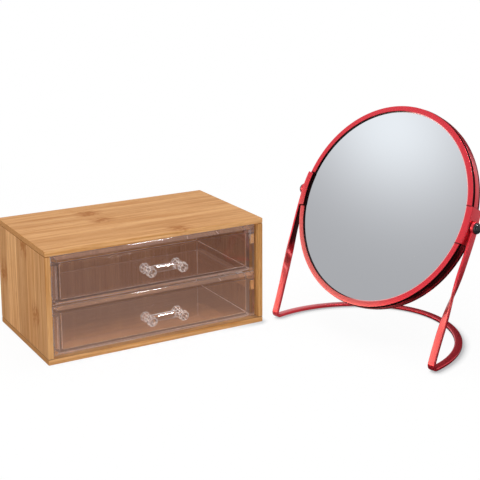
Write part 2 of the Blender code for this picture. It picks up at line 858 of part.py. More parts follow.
def build_stand(carrier):
    """One bent strip: a loop on the floor, two feet and two twisted uprights with eyelets."""
    places = pivot_distances()
    data = bpy.data.curves.new("strip_line", "CURVE")
    data.dimensions = "3D"
    data.twist_mode = "MINIMUM"
    data.bevel_mode = "OBJECT"
    data.bevel_object = strip_section()
    data.use_fill_caps = True
    route = strip_points()
    line = data.splines.new("POLY")
    line.points.add(len(route) - 1)
    for point, (x, y, z, tilt) in zip(line.points, route):
        point.co = (x, y, z, 1)
        point.tilt = tilt
    guide = new_cutter("strip_line", data)
    bpy.context.view_layer.update()
    mesh = evaluated_mesh(guide, "stand_strip")
    bpy.data.objects.remove(guide, do_unlink=True)
    strip = new_object("stand_strip", mesh, "red_lacquer", carrier)
    mirror = strip.modifiers.new("both sides", "MIRROR")
    mirror.use_bisect_axis = (True, False, False)
    mirror.use_bisect_flip_axis = (False, False, False)
    mirror.merge_threshold = MERGE_DISTANCE
    for hand, side in (("left", -1), ("right", 1)):
        eye_mesh = bpy.data.meshes.new(f"eyelet_{hand}")
        shape = bmesh.new()
        bmesh.ops.create_cone(
            shape,
            cap_ends=True,
            segments=EYELET_STEPS,
            radius1=EYELET_RADIUS,
            radius2=EYELET_RADIUS,
            depth=EYELET_THICKNESS,
        )
        across = Matrix.Rotation(math.radians(90), 4, "Y")
        bmesh.ops.transform(shape, matrix=across, verts=shape.verts)
        shape.to_mesh(eye_mesh)
        shape.free()
        eyelet = new_cutter(f"eyelet_{hand}", eye_mesh, carrier)
        eyelet.location = (side * places["eyelet_middle"], 0, PIVOT_HEIGHT)
        add_boolean(strip, eyelet, "UNION")
    drill = hole_cutter("eyelet_drill", places["head_in"] + CUT_OVERRUN, carrier)
    drill.location = (0, 0, PIVOT_HEIGHT)
    add_boolean(strip, drill, "DIFFERENCE")


def build_mirror():
    """The mirror: its stand on the floor and its disc tilted about the pivot axis."""
    stand = new_empty("mirror_stand_base", (MIRROR_X, MIRROR_Y, 0))
    stand.rotation_euler = (0, 0, MIRROR_YAW)
    disc = new_empty("mirror_pivot_axis", (0, 0, PIVOT_HEIGHT), stand)
    disc.rotation_euler = (-MIRROR_TILT, 0, 0)
    build_stand(stand)
    build_hoops(disc)
    build_clips(disc)
    build_glasses(disc)
    build_pivot_hardware(disc)


def main():
    """Build the whole set."""
    clear_scene()
    new_collection("vanity_set")
    new_collection("cutters")
    build_flat_boards()
    build_side_boards()
    build_back_panel()
    build_runners()
    for level in range(DRAWER_COUNT):
        build_drawer(level)
    build_mirror()
    bpy.context.view_layer.update()


main()
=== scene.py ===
"""Looks of the vanity set: a bamboo cabinet with two clear drawers and a red mirror in a strip stand.

Everything is in metres in the frame of the packed model: the origin is the centre of the cabinet's
underside, +X runs along its width, the drawers open towards -Y and +Z is up.
"""

import json
import math
from functools import reduce

import bmesh
import bpy
import numpy as np
from bpy.props import FloatProperty, FloatVectorProperty, IntProperty, PointerProperty
from mathutils import Matrix, Vector


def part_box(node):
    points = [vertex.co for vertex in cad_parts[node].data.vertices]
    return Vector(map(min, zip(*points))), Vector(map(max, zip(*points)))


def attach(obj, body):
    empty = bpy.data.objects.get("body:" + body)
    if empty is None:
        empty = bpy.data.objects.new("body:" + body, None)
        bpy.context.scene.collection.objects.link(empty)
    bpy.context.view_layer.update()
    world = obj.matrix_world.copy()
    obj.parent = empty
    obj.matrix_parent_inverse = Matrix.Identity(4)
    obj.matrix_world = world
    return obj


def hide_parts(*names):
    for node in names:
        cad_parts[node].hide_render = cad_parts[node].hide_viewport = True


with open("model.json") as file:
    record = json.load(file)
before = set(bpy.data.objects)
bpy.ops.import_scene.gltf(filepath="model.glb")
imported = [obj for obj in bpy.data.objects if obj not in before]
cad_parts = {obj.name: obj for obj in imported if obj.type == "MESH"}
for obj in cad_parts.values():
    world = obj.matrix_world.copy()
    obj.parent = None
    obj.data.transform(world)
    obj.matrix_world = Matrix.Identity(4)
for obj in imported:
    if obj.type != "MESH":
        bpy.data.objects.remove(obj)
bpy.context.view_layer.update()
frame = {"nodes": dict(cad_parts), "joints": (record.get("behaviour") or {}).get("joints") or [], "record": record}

bl_info = {
    "name": "Vanity set looks",
    "version": (1, 0, 0),
    "blender": (4, 5, 0),
    "location": "View3D > Sidebar > Vanity",
    "description": "Bamboo cabinet with clear drawers and a red table mirror",
    "category": "Object",
}

NODES = frame["nodes"]
DRAWERS = ("lower", "upper")
HANDS = (("left", -1), ("right", 1))
FRAME_PIXELS = 480
FOCAL_PIXELS = 1140.759
SENSOR_WIDTH = 36
EDGE_STEPS = 6
CORNER_STEPS = 9
CLIP_STEPS = 36
SCREW_STEPS = 64
EYELET_STEPS = 72
DISH_STEPS = 160
GLASS_STEPS = 200
LOOP_STEPS = 110
BEND_STEPS = 22
UPRIGHT_STEPS = 90
NUMBER = (float, int)
LEAST_RADIUS = 0.0001
ACRYLIC_IOR = 1.49
WHITE = (1, 1, 1)


def corners(node):
    """Lowest and highest corner of a CAD node as arrays."""
    low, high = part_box(node)
    return np.array(low), np.array(high)


# Shapes


def unit(vectors):
    """Each vector of an array divided by its own length."""
    return vectors / np.linalg.norm(vectors, axis=-1, keepdims=True)


def eased(outline, radius, steps):
    """An outline with rounded corners.

    Each corner becomes the curve (1-t)^2 a + 2t(1-t) c + t^2 b, where c is the corner and a and b lie
    one radius before and after it, or just under half a side where the sides are short.
    """
    corner = np.asarray(outline, float)
    before = np.roll(corner, 1, 0) - corner
    after = np.roll(corner, -1, 0) - corner
    sides = np.linalg.norm(before, axis=1), np.linalg.norm(after, axis=1)
    reach = np.minimum(radius, 0.49 * np.minimum(*sides))[:, None]
    first = (corner + unit(before) * reach)[:, None]
    last = (corner + unit(after) * reach)[:, None]
    t = np.linspace(0, 1, steps)[None, :, None]
    curve = (1 - t) ** 2 * first + 2 * t * (1 - t) * corner[:, None] + t**2 * last
    return curve.reshape(-1, 2)


def plate_ring(half_x, half_z, radius, steps):
    """A rectangle with rounded corners in two axes: a quarter circle about each corner's own centre."""
    turn = np.linspace(0, math.pi / 2, steps)[None, :] + np.arange(4)[:, None] * math.pi / 2
    side = np.array([(1, 1), (-1, 1), (-1, -1), (1, -1)], float)[:, None, :]
    centre = side * (np.array([half_x, half_z]) - radius)
    ring = centre + radius * np.stack([np.cos(turn), np.sin(turn)], -1)
    return ring.reshape(-1, 2)


def shell(name, grid, ring=True, loop=False, caps=True):
    """A mesh over a grid of points, one row after another.

    ring closes every row on itself, loop joins the last row to the first, and caps close the two end
    rows. Doubles are merged, which closes poles, and the faces are turned outwards.
    """
    rows, columns = grid.shape[:2]
    index = np.arange(rows * columns).reshape(rows, columns)
    ends = [index[0, ::-1].tolist(), index[-1].tolist()]
    if loop:
        index = np.vstack([index, index[:1]])
    if ring:
        index = np.hstack([index, index[:, :1]])
    quads = np.stack([index[:-1, :-1], index[:-1, 1:], index[1:, 1:], index[1:, :-1]], -1)
    faces = quads.reshape(-1, 4).tolist()
    if caps and not loop:
        faces += ends
    mesh = bpy.data.meshes.new(name)
    mesh.from_pydata(grid.reshape(-1, 3).tolist(), [], faces)
    return tidy(mesh)


def tidy(mesh, planar=None):
    """Merge doubles, join faces that lie in one plane where asked, and turn the faces outwards."""
    shape = bmesh.new()
    shape.from_mesh(mesh)
    bmesh.ops.remove_doubles(shape, verts=shape.verts, dist=1e-6)
    if planar:
        bmesh.ops.dissolve_limit(shape, angle_limit=planar, verts=shape.verts, edges=shape.edges)
    bmesh.ops.recalc_face_normals(shape, faces=shape.faces)
    shape.to_mesh(mesh)
    shape.free()
    return mesh


def joined(name, meshes):
    """One mesh that holds several closed shells."""
    shape = bmesh.new()
    for mesh in meshes:
        shape.from_mesh(mesh)
        bpy.data.meshes.remove(mesh)
    made = bpy.data.meshes.new(name)
    shape.to_mesh(made)
    shape.free()
    return made


def turned(name, outline, steps, centre, out, loop=False):
    """A surface of revolution: point = centre + r (cos a u + sin a v) + h w, for the outline's (r, h).

    w is the axis that points out, u and v are two directions square to it.
    """
    w = np.array(out, float)
    u = unit(np.cross(w, (0.0, 0.6, 0.8) if abs(w[2]) < 0.7 else (1.0, 0.0, 0.0)))
    v = np.cross(w, u)
    profile = np.asarray(outline, float)
    a = np.linspace(0, 2 * math.pi, steps, endpoint=False)[None, :, None]
    r, h = profile[:, 0, None, None], profile[:, 1, None, None]
    grid = np.asarray(centre) + r * (np.cos(a) * u + np.sin(a) * v) + h * w
    return shell(name, grid, loop=loop, caps=False)


def piece(name, mesh, finish, body, nodes, sharp):
    """Put a finished mesh on its body, in place of its CAD nodes.

    Edges that turn by more than sharp degrees stay sharp. Reflections leave the drawers out, unless a
    drawer's operator says otherwise.
    """
    item = bpy.data.objects.new(name, mesh)
    bpy.context.scene.collection.objects.link(item)
    item.visible_glossy = not body.startswith("drawer")
    mesh.materials.clear()
    mesh.materials.append(finish)
    mesh.shade_smooth()
    mesh.set_sharp_from_angle(angle=math.radians(sharp))
    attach(item, body)
    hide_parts(*nodes)
    return item


def weigh_normals(item):
    """Let the large faces keep their own normals next to the small rounded ones."""
    weigh = item.modifiers.new("flat faces stay flat", "WEIGHTED_NORMAL")
    weigh.keep_sharp = True


def ease_edges(item, width, segments, angle):
    """Round the edges of a finished piece that turn by more than an angle in degrees."""
    ease = item.modifiers.new("eased edges", "BEVEL")
    ease.width = width
    ease.segments = segments
    ease.limit_method = "ANGLE"
    ease.angle_limit = math.radians(angle)
    ease.harden_normals = False
    ease.use_clamp_overlap = False
    return ease


def keep_from_mirror(objects):
    """The mirror shows the plain studio, as in the photograph, and not the cabinet."""
    for item in objects:
        item.visible_glossy = False


def dress(node, finish):
    """Give a CAD node that stays a better material."""
    slots = NODES[node].data.materials
    slots.clear()
    slots.append(finish)


# Materials


def shaded(colour, *amounts):
    """A colour times an amount for all its channels or one for each, with none above 1."""
    return tuple(min(channel * amount, 1) for channel, amount in zip(colour, amounts * 3))


class Wire:
    """A number that flows between nodes, with ordinary arithmetic."""

    def __init__(self, finish, socket):
        self.finish = finish
        self.socket = socket

    def math(self, operation, *others):
        """A Math node whose first value is this wire."""
        values = dict(enumerate((self, *others)))
        return self.finish.node("ShaderNodeMath", {"operation": operation}, values)

    def __add__(self, other):
        return self.math("ADD", other)

    __radd__ = __add__

    def __mul__(self, other):
        return self.math("MULTIPLY", other)

    __rmul__ = __mul__

    def __sub__(self, other):
        return self.math("SUBTRACT", other)

    def __rsub__(self, other):
        return (self * -1) + other

    def __truediv__(self, other):
        return self.math("DIVIDE", other)

    def __pow__(self, other):
        return self.math("POWER", other)

    def size(self):
        """The value without its sign."""
        return self.math("ABSOLUTE")

    def top(self, other):
        """The larger of two values."""
        return self.math("MAXIMUM", other)

    def least(self, other):
        """The smaller of two values."""
        return self.math("MINIMUM", other)

    def rise(self, start, end):
        """0 before start, 1 past end, and an even curve between; start may lie above end."""
        ends = {"From Min": start, "From Max": end, 0: self}
        return self.finish.node("ShaderNodeMapRange", {"interpolation_type": "SMOOTHSTEP"}, ends)

    def hump(self, middle, half):
        """1 at the middle, falling evenly to 0 at half either side."""
        return (self - middle).size().rise(half, 0)


class Finish:
    """One material's or one world's node tree."""

    def __init__(self, name, owner=None):
        self.made = owner or bpy.data.materials.new(name)
        self.made.use_nodes = True
        self.tree = self.made.node_tree
        self.tree.nodes.clear()

    def node(self, kind, settings=None, sockets=None, output=0):
        """Add a node: its settings, then its sockets' values or links. Returns one output."""
        made = self.tree.nodes.new(kind)
        for key, value in (settings or {}).items():
            if key == "stops":
                self.fill_ramp(made.color_ramp, value)
            else:
                setattr(made, key, value)
        for key, value in (sockets or {}).items():
            socket = made.inputs[key]
            if isinstance(value, Wire):
                self.tree.links.new(value.socket, socket)
            elif socket.type == "RGBA":
                socket.default_value = (*value[:3], 1)
            else:
                socket.default_value = value
        return Wire(self, made.outputs[output])

    @staticmethod
    def fill_ramp(ramp, stops):
        """Set a colour ramp's stops from (place, colour) pairs."""
        while len(ramp.elements) < len(stops):
            ramp.elements.new(1)
        for element, (place, colour) in zip(ramp.elements, stops):
            element.position = place
            element.color = (*colour, 1)

    def place(self):
        """Object coordinates."""
        return self.node("ShaderNodeTexCoord", output="Object")

    def facing(self):
        """The direction that the surface faces."""
        return self.node("ShaderNodeTexCoord", output="Normal")

    def split(self, vector):
        """The three parts of a vector."""
        first = self.node("ShaderNodeSeparateXYZ", None, {0: vector})
        outputs = first.socket.node.outputs
        return [Wire(self, outputs[axis]) for axis in range(3)]

    def vector(self, operation, first, second=(0, 0, 0), output="Vector"):
        """A Vector Math node."""
        return self.node("ShaderNodeVectorMath", {"operation": operation}, {0: first, 1: second}, output)

    def along(self, vector, axis):
        """How far a vector reaches along an axis."""
        return self.vector("DOT_PRODUCT", vector, tuple(axis), "Value")

    def noise(self, vector, scale, detail=2.0, roughness=0.5, shift=(0, 0, 0)):
        """Noise from 0 to 1, with one scale or one for each axis, in cycles per metre."""
        scales = (scale,) * 3 if isinstance(scale, NUMBER) else scale
        there = self.node("ShaderNodeMapping", None, {"Vector": vector, "Scale": scales, "Location": shift})
        values = {"Vector": there, "Scale": 1.0, "Detail": detail, "Roughness": roughness}
        return self.node("ShaderNodeTexNoise", {"noise_dimensions": "3D"}, values)

    def blend(self, share, first, second, way="MIX"):
        """Two colours mixed by a share."""
        settings = {"data_type": "RGBA", "blend_type": way}
        return self.node("ShaderNodeMix", settings, {0: share, 6: first, 7: second}, 2)

    def mix(self, share, first, second):
        """Two numbers mixed by a share."""
        return self.node("ShaderNodeMix", {"data_type": "FLOAT"}, {0: share, 2: first, 3: second})

    def either(self, share, first, second):
        """Two shaders mixed by a share."""
        return self.node("ShaderNodeMixShader", None, {0: share, 1: first, 2: second})

    def shine(self, kind, colour, strength=1.0):
        """An Emission or a Background shader."""
        return self.node(f"ShaderNode{kind}", None, {"Color": colour, "Strength": strength})

    def went(self, way):
        """1 where the light has gone a way before: Diffuse, Glossy or Transmission."""
        return self.node("ShaderNodeLightPath", output=f"{way} Depth").rise(0.4, 0.6)

    def by_ray(self, seen, lit, mirrored, inside):
        """Four shaders, picked by the way the light takes.

        seen is for the eye, also through clear acrylic, lit for light on matt surfaces, mirrored for
        reflections, and inside for reflections within the acrylic, which the cabinet keeps dim.
        """
        shiny = self.either(self.went("Transmission"), mirrored, inside)
        shown = self.either(self.went("Glossy"), seen, shiny)
        return self.either(self.went("Diffuse"), shown, lit)

    def steps(self, value, stops):
        """A colour that changes at each stop and stays even between them."""
        made = self.node("ShaderNodeValToRGB", {"stops": stops}, {0: value})
        made.socket.node.color_ramp.interpolation = "CONSTANT"
        return made

    def bump(self, height, distance, strength):
        """A normal bent by a height from 0 to 1."""
        values = {"Height": height, "Distance": distance, "Strength": strength}
        return self.node("ShaderNodeBump", None, values)

    def principled(self, **values):
        """The main shader, with sockets named in plain words."""
        named = {key.replace("_", " "): value for key, value in values.items()}
        return self.node("ShaderNodeBsdfPrincipled", None, named)

    def close(self, surface, kind="ShaderNodeOutputMaterial"):
        """Join the shader to the output and return the material or the world."""
        made = self.tree.nodes.new(kind)
        self.tree.links.new(surface.socket, made.inputs["Surface"])
        return self.made


def knuckle(along, across, waver, tufts, spot):
    """A knuckle of the cane: three broken bars bowed across the grain and tufts of dark fibre.

    spot is its place along the grain and across it, and its strength.
    """
    where, beside, strength = spot
    bent = along + (waver - 0.5) * 0.006 - where
    aside = across - beside
    inside = aside.size().rise(0.0105, 0.007)
    arch = bent + aside * aside * 28
    bars = arch.hump(0, 0.0024) + arch.hump(0.0048, 0.0018) * 0.7 + arch.hump(-0.0042, 0.0016) * 0.6
    flare = bent.size().rise(0.019, 0.002) * tufts.rise(0.44, 0.58)
    haze = bent.size().rise(0.016, 0) * 0.2
    return (bars * tufts.rise(0.38, 0.56) + flare * 0.9 + haze) * inside * strength


def bamboo(name, settings, axes, strips, knuckles=(), shade=1.0, seed=0.0, upper=1.0):
    """Plain-pressed bamboo: glued strips, each of its own shade, with fibres and knuckles.

    axes are the numbers of the axis along the grain and of the one across it. strips lists
    (place across, shade) from low to high, and knuckles (place along, place across, strength).
    upper is how bright the faces that look up stay under painted shade. The faces that look to the front are
    painted paler, as painted light.
    """
    look = Finish(name)
    along_axis, across_axis = axes
    place = look.place()
    parts = look.split(place)
    along, across = parts[along_axis], parts[across_axis]
    tone = shaded(settings.bamboo_colour, shade, shade**1.3, shade**2.2)

    shift = (seed, seed * 1.7, seed * 0.6)

    def grained(along_scale, across_scale, detail, roughness):
        """Noise drawn out along the grain, its own for each board by the seed."""
        scale = [across_scale] * 3
        scale[along_axis] = along_scale
        return look.noise(place, scale, detail, roughness, shift)

    waver = grained(5, 40, 2, 0.5)
    wide = grained(6, 110, 3, 0.6)
    fibres = grained(11, 560, 3, 0.7)
    fine = grained(40, 1900, 2, 0.6)
    pores = grained(70, 1100, 1, 0.5)
    tufts = grained(110, 620, 2, 0.6)

    low, high = strips[0][0], strips[-1][0] + 0.03
    span = high - low
    edges = across + (waver - 0.5) * 0.0004
    stops = [((edge - low) / span, (level,) * 3) for edge, level in strips]
    level = look.steps((edges - low) / span, stops)
    level = look.node("ShaderNodeSeparateColor", None, {0: level})
    seam = reduce(Wire.top, [edges.hump(edge, 0.0007) for edge, _ in strips[1:]])

    dark, light = shaded(tone, 0.74, 0.59, 0.40), shaded(tone, 1.13, 1.17, 1.26)
    grain = fibres * 0.62 + wide * 0.38
    colour = look.blend(grain.rise(0.34, 0.66), dark, light)
    tint = look.node("ShaderNodeCombineColor", None, {0: level, 1: level**1.25, 2: level**1.6})
    colour = look.blend(1.0, colour, tint, "MULTIPLY")
    dashes = pores.rise(0.58, 0.72) * 0.38 + fine.rise(0.55, 0.72) * 0.22
    deep = shaded(tone, 0.57, 0.36, 0.14)
    colour = look.blend(dashes, colour, deep)
    colour = look.blend(seam * 0.30, colour, deep)
    if knuckles:
        knot = reduce(Wire.top, [knuckle(along, across, waver, tufts, spot) for spot in knuckles])
        colour = look.blend(knot.least(0.88), colour, deep)

    facing = look.split(look.facing())
    on_end = facing[along_axis].size().rise(0.55, 0.85)
    dots = look.noise(place, 1500, 2, 0.6, shift).rise(0.40, 0.66)
    end_grain = look.blend(dots, shaded(tone, 0.68, 0.58, 0.46), shaded(tone, 0.92, 0.86, 0.78))
    colour = look.blend(on_end, colour, end_grain)
    # Painted light: faces that look to the front are paler; painted shade: faces that look up are darker by upper.
    painted_front_light = look.blend(1.0, colour, (1.16, 1.20, 1.26), "MULTIPLY")
    colour = look.blend(facing[1].rise(-0.6, -0.9), colour, painted_front_light)
    painted_shade_up = look.blend(1.0, colour, (upper,) * 3, "MULTIPLY")
    colour = look.blend(facing[2].rise(0.6, 0.9), colour, painted_shade_up)

    relief = fibres * 0.7 + fine * 0.3 - dashes * 0.8
    shader = look.principled(
        Base_Color=colour,
        Roughness=fibres * 0.16 + 0.34 + on_end * 0.2,
        Normal=look.bump(relief, 0.00006, 0.6),
        IOR=1.45,
        Specular_IOR_Level=0.05,
    )
    return look.close(shader)


def passable(look, settings, body):
    """The acrylic's shader, made clear for shadows and for the mirror.

    Light that only casts a shadow passes through it with a tint, as it does through the real one.
    Reflections within the acrylic show it, and those in the mirror don't.
    """
    shadow = look.node("ShaderNodeLightPath", output="Is Shadow Ray")
    glossy = look.node("ShaderNodeLightPath", output="Is Glossy Ray")
    passed = shadow.top(glossy * (1 - look.went("Transmission")))
    clear = look.node("ShaderNodeBsdfTransparent", None, {"Color": settings.acrylic_shadow})
    return look.either(passed, body, clear)


def acrylic(name, settings, tint, clouds, bevelled=False):
    """Clear acrylic with a faint smoky tint, moulding ripples and a little haze.

    clouds says how strong the ripples and the haze are. The acrylic glows a little with painted light, the lower
    drawer more than the upper, in place of light scattered in it. The bevels of a bevelled plate, which all lean
    by the same angle, glow more with a painted reflection, and the level ones most.
    """
    look = Finish(name)
    place = look.place()
    ripple = look.noise(place, 26)
    specks = look.noise(place, 900, 1).rise(0.72, 0.8)
    haze = look.noise(place, 40, 3, 0.6).rise(0.35, 0.8)
    # Painted light: the acrylic glows, the lower drawer more than the upper.
    on_upper = look.split(place)[2].rise(0.050, 0.056)
    glow = look.blend(on_upper, settings.lower_painted_glow, settings.upper_painted_glow)
    # Painted reflection: the bevels glow brighter, the level ones most.
    if bevelled:
        lean = settings.bevel_width / math.hypot(settings.bevel_width, settings.bevel_depth)
        facing = look.split(look.facing())
        level = facing[2].size().rise(0.2, 0.4) * 0.85 + 0.15
        glow = look.blend(facing[1].hump(-lean, 0.08) * level, glow, settings.bevel_painted_reflection)
    body = look.principled(
        Base_Color=look.blend(ripple, tint, shaded(tint, 0.985)),
        Roughness=haze * 0.02 * clouds + settings.acrylic_roughness + specks * 0.05,
        Normal=look.bump(ripple, 0.0006, 0.15 * clouds),
        IOR=ACRYLIC_IOR,
        Transmission_Weight=1.0,
        Emission_Color=glow,
        Emission_Strength=1.0,
    )
    return look.close(passable(look, settings, body))


def frosted_with_painted_glint(name, settings, clear, glow):
    """The fine moulded edges of the acrylic, which are a little rough and glow with a painted glint."""
    look = Finish(name)
    broken = look.noise(look.place(), 160, 2, 0.6)
    body = look.principled(
        Base_Color=look.blend(broken, (0.90, 0.84, 0.82), (0.97, 0.93, 0.92)),
        Roughness=broken * 0.2 + 0.3,
        IOR=ACRYLIC_IOR,
        Transmission_Weight=clear,
        # Painted glint: the edges glow, by edge_painted_glint times glow.
        Emission_Color=look.blend(broken.rise(0.35, 0.7), (0.03, 0.02, 0.016), (0.10, 0.07, 0.06)),
        Emission_Strength=settings.edge_painted_glint * glow,
    )
    return look.close(passable(look, settings, body))


def shaded_lines(look, place, settings, lip, grooved):
    """How much painted shade darkens and a painted highlight lightens the fine lines of the disc, and how much
    painted light pales its lower left, as shares.

    Painted shade darkens the grooves behind the rim's corners, the left half of the lips' inner walls, the narrow
    rim beside both clips and under the left clip, and the outer side of the rim at its lower right, where little
    light reaches. A painted highlight lightens the right half of the inner walls. Both read how far a point lies
    from the disc's axis, from its middle plane and along its own axes. lip is the radius of the lips, and only the
    rim is grooved.
    """
    centre, axes = disc_frame(settings)
    arm = look.vector("SUBTRACT", place, tuple(centre))
    across, offset, up = (look.along(arm, axis) for axis in axes)
    reach = look.vector("LENGTH", arm, output="Value")
    radius = (reach * reach - offset * offset) ** 0.5
    rim = settings.radius
    left = across.rise(0.012, -0.012)
    # Painted shade on the left half of the lips' inner walls, a painted highlight on the right half.
    dark = radius.rise(lip + 0.0010, lip + 0.0006) * left
    light = radius.rise(lip + 0.0010, lip + 0.0004) * (1 - left) * 0.8
    if grooved:
        middle = settings.depth / 2 - settings.groove_setback - settings.groove_width / 2
        in_groove = offset.size().hump(middle, settings.groove_width * 0.65).rise(0.05, 0.2)
        # Painted shade in the grooves.
        dark = dark.top(radius.rise(rim, rim - 0.0003) * in_groove)
        # Painted shade beside both clips and under the left clip.
        clip_end = (rim + settings.gap) * math.sin(settings.clip_angle)
        from_pivots = (up + settings.drop).size()
        by_clip = from_pivots.hump(clip_end + 0.0003, 0.0007).rise(0, 0.5)
        dark = dark.top(by_clip * across.size().rise(0.07, 0.09) * 0.85)
        under_clip = from_pivots.rise(clip_end + 0.0004, clip_end)
        dark = dark.top(under_clip * across.rise(-0.07, -0.09))
        # Painted shade on the outer side of the rim at its lower right.
        lower_right = ((across * 0.85 - up * 0.53) / rim).rise(0.89, 0.97)
        behind = offset.rise(0.0045, -0.001) * radius.rise(rim - 0.0012, rim - 0.0008)
        dark = dark.top(lower_right * behind * 0.93)
    # Painted light: the lower left is paler.
    painted_light_share = ((across * -0.5 - up * 0.87) / rim).rise(0.35, 0.98) * 0.85
    return dark, light, painted_light_share


def shaded_upright(look, place, settings):
    """The same shares for the stand.

    Painted shade darkens the left upright's inner face beside the disc, where no light reaches, and painted light
    makes the fronts of the lower uprights paler; they also take a little of the painted shade.
    """
    origin, (right, back, _) = stand_frame(settings)
    across = look.along(look.vector("SUBTRACT", place, tuple(origin)), right)
    height = look.split(place)[2]
    facing = look.facing()
    inward = look.along(facing, right).rise(0.2, 0.6)
    beside_disc = across.rise(-0.07, -0.09) * height.rise(0.060, 0.078)
    forward = look.along(facing, -back).rise(0.3, 0.8)
    low = forward * height.rise(0.004, 0.012) * height.rise(0.085, 0.060)
    # Painted shade beside the disc; the lower fronts take painted light and a little painted shade.
    dark = (inward * beside_disc * 0.95).top(low * 0.2)
    return dark, 0.0, low * 0.45


def lacquer(name, settings, shares, *values):
    """Red lacquer on steel: fine metallic flakes under a clear coat with a little orange peel.

    shares works out how much painted shade, painted highlight and painted light the colour takes, from the values
    given.
    """
    look = Finish(name)
    place = look.place()
    flakes = look.noise(place, 2400, 2, 0.7)
    peel = look.noise(place, 420)
    drift = look.noise(place, 18)
    tone = settings.lacquer_colour
    colour = look.blend(flakes * 0.5 + drift * 0.5, shaded(tone, 0.93), tone)
    dark, light, painted_light_share = shares(look, place, settings, *values)
    # Painted light pales the colour, a painted highlight lightens it and painted shade darkens it.
    colour = look.blend(painted_light_share, colour, (0.73, 0.155, 0.135))
    colour = look.blend(light, colour, (0.95, 0.50, 0.50))
    colour = look.blend(dark, colour, shaded(tone, 0.02))
    shader = look.principled(
        Base_Color=colour,
        Metallic=settings.lacquer_metal,
        Roughness=flakes * 0.04 + settings.lacquer_roughness,
        Specular_IOR_Level=0.2,
        Normal=look.bump(peel, 0.00002, 0.04),
        Coat_Weight=(1 - dark) * 0.65,
        Coat_Roughness=0.06,
        Coat_IOR=1.5,
    )
    return look.close(shader)


def silvering(name, settings):
    """Silvered glass: a clean mirror with the faintest wiped streaks and dust."""
    look = Finish(name)
    place = look.place()
    wipe = look.noise(place, (30, 12, 9), 3, 0.6).rise(0.45, 0.8)
    dust = look.noise(place, 1600, 1).rise(0.74, 0.80)
    tone = settings.mirror_colour
    shader = look.principled(
        Base_Color=look.blend(dust * 0.2, tone, shaded(tone, 0.9)),
        Metallic=1.0,
        Roughness=wipe * 0.02 + 0.015 + dust * 0.05,
    )
    return look.close(shader)


def black_chrome(name):
    """Black plated screws: dark, glossy, with faint turning marks."""
    look = Finish(name)
    marks = look.noise(look.place(), 1100, 2, 0.6)
    shader = look.principled(
        Base_Color=look.blend(marks, (0.010, 0.010, 0.011), (0.022, 0.022, 0.024)),
        Roughness=marks * 0.04 + 0.05,
        Normal=look.bump(marks, 0.00001, 0.1),
        IOR=1.5,
    )
    return look.close(shader)


def zinc(name):
    """Zinc-plated nuts with a spangled surface."""
    look = Finish(name)
    spangle = look.noise(look.place(), 500, 2, 0.7)
    shader = look.principled(
        Base_Color=look.blend(spangle, (0.46, 0.47, 0.49), (0.66, 0.67, 0.68)),
        Metallic=1.0,
        Roughness=spangle * 0.2 + 0.28,
        Normal=look.bump(spangle, 0.00003, 0.3),
    )
    return look.close(shader)


def card(name):
    """Grey pressed card with short fibres and specks."""
    look = Finish(name)
    place = look.place()
    pulp = look.noise(place, 700, 4, 0.7)
    specks = look.noise(place, 1900, 1).rise(0.66, 0.75)
    colour = look.blend(pulp, (0.25, 0.24, 0.22), (0.36, 0.35, 0.32))
    shader = look.principled(
        Base_Color=look.blend(specks * 0.5, colour, (0.10, 0.09, 0.08)),
        Roughness=pulp * 0.1 + 0.82,
        Normal=look.bump(pulp, 0.00008, 0.5),
    )
    return look.close(shader)


# Settings


def length(name, words, value):
    """A length in metres."""
    return FloatProperty(name=name, description=words, default=value, unit="LENGTH", precision=5)


def angle(name, words, value):
    """An angle in radians."""
    return FloatProperty(name=name, description=words, default=value, subtype="ANGLE")


def portion(name, words, value):
    """A number from 0 to 1."""
    return FloatProperty(name=name, description=words, default=value, min=0, max=1)


def number(name, words, value):
    """A plain number."""
    return FloatProperty(name=name, description=words, default=value)


def spot_of(name, words, value):
    """A place in metres."""
    return FloatVectorProperty(
        name=name, description=words, default=value, size=3, subtype="TRANSLATION", unit="LENGTH"
    )


def colour_of(name, words, value):
    """A linear colour."""
    return FloatVectorProperty(
        name=name, description=words, default=value, size=3, subtype="COLOR", min=0, max=1
    )


def joint_place(name):
    """A place on the axis of a joint of the frame."""
    return next(joint["pos_m"] for joint in frame["joints"] if joint["name"] == name)


class VanityCabinet(bpy.types.PropertyGroup):
    """The bamboo cabinet."""

    bamboo_colour: colour_of("Bamboo", "Mean colour of the pressed bamboo", (0.612, 0.325, 0.129))


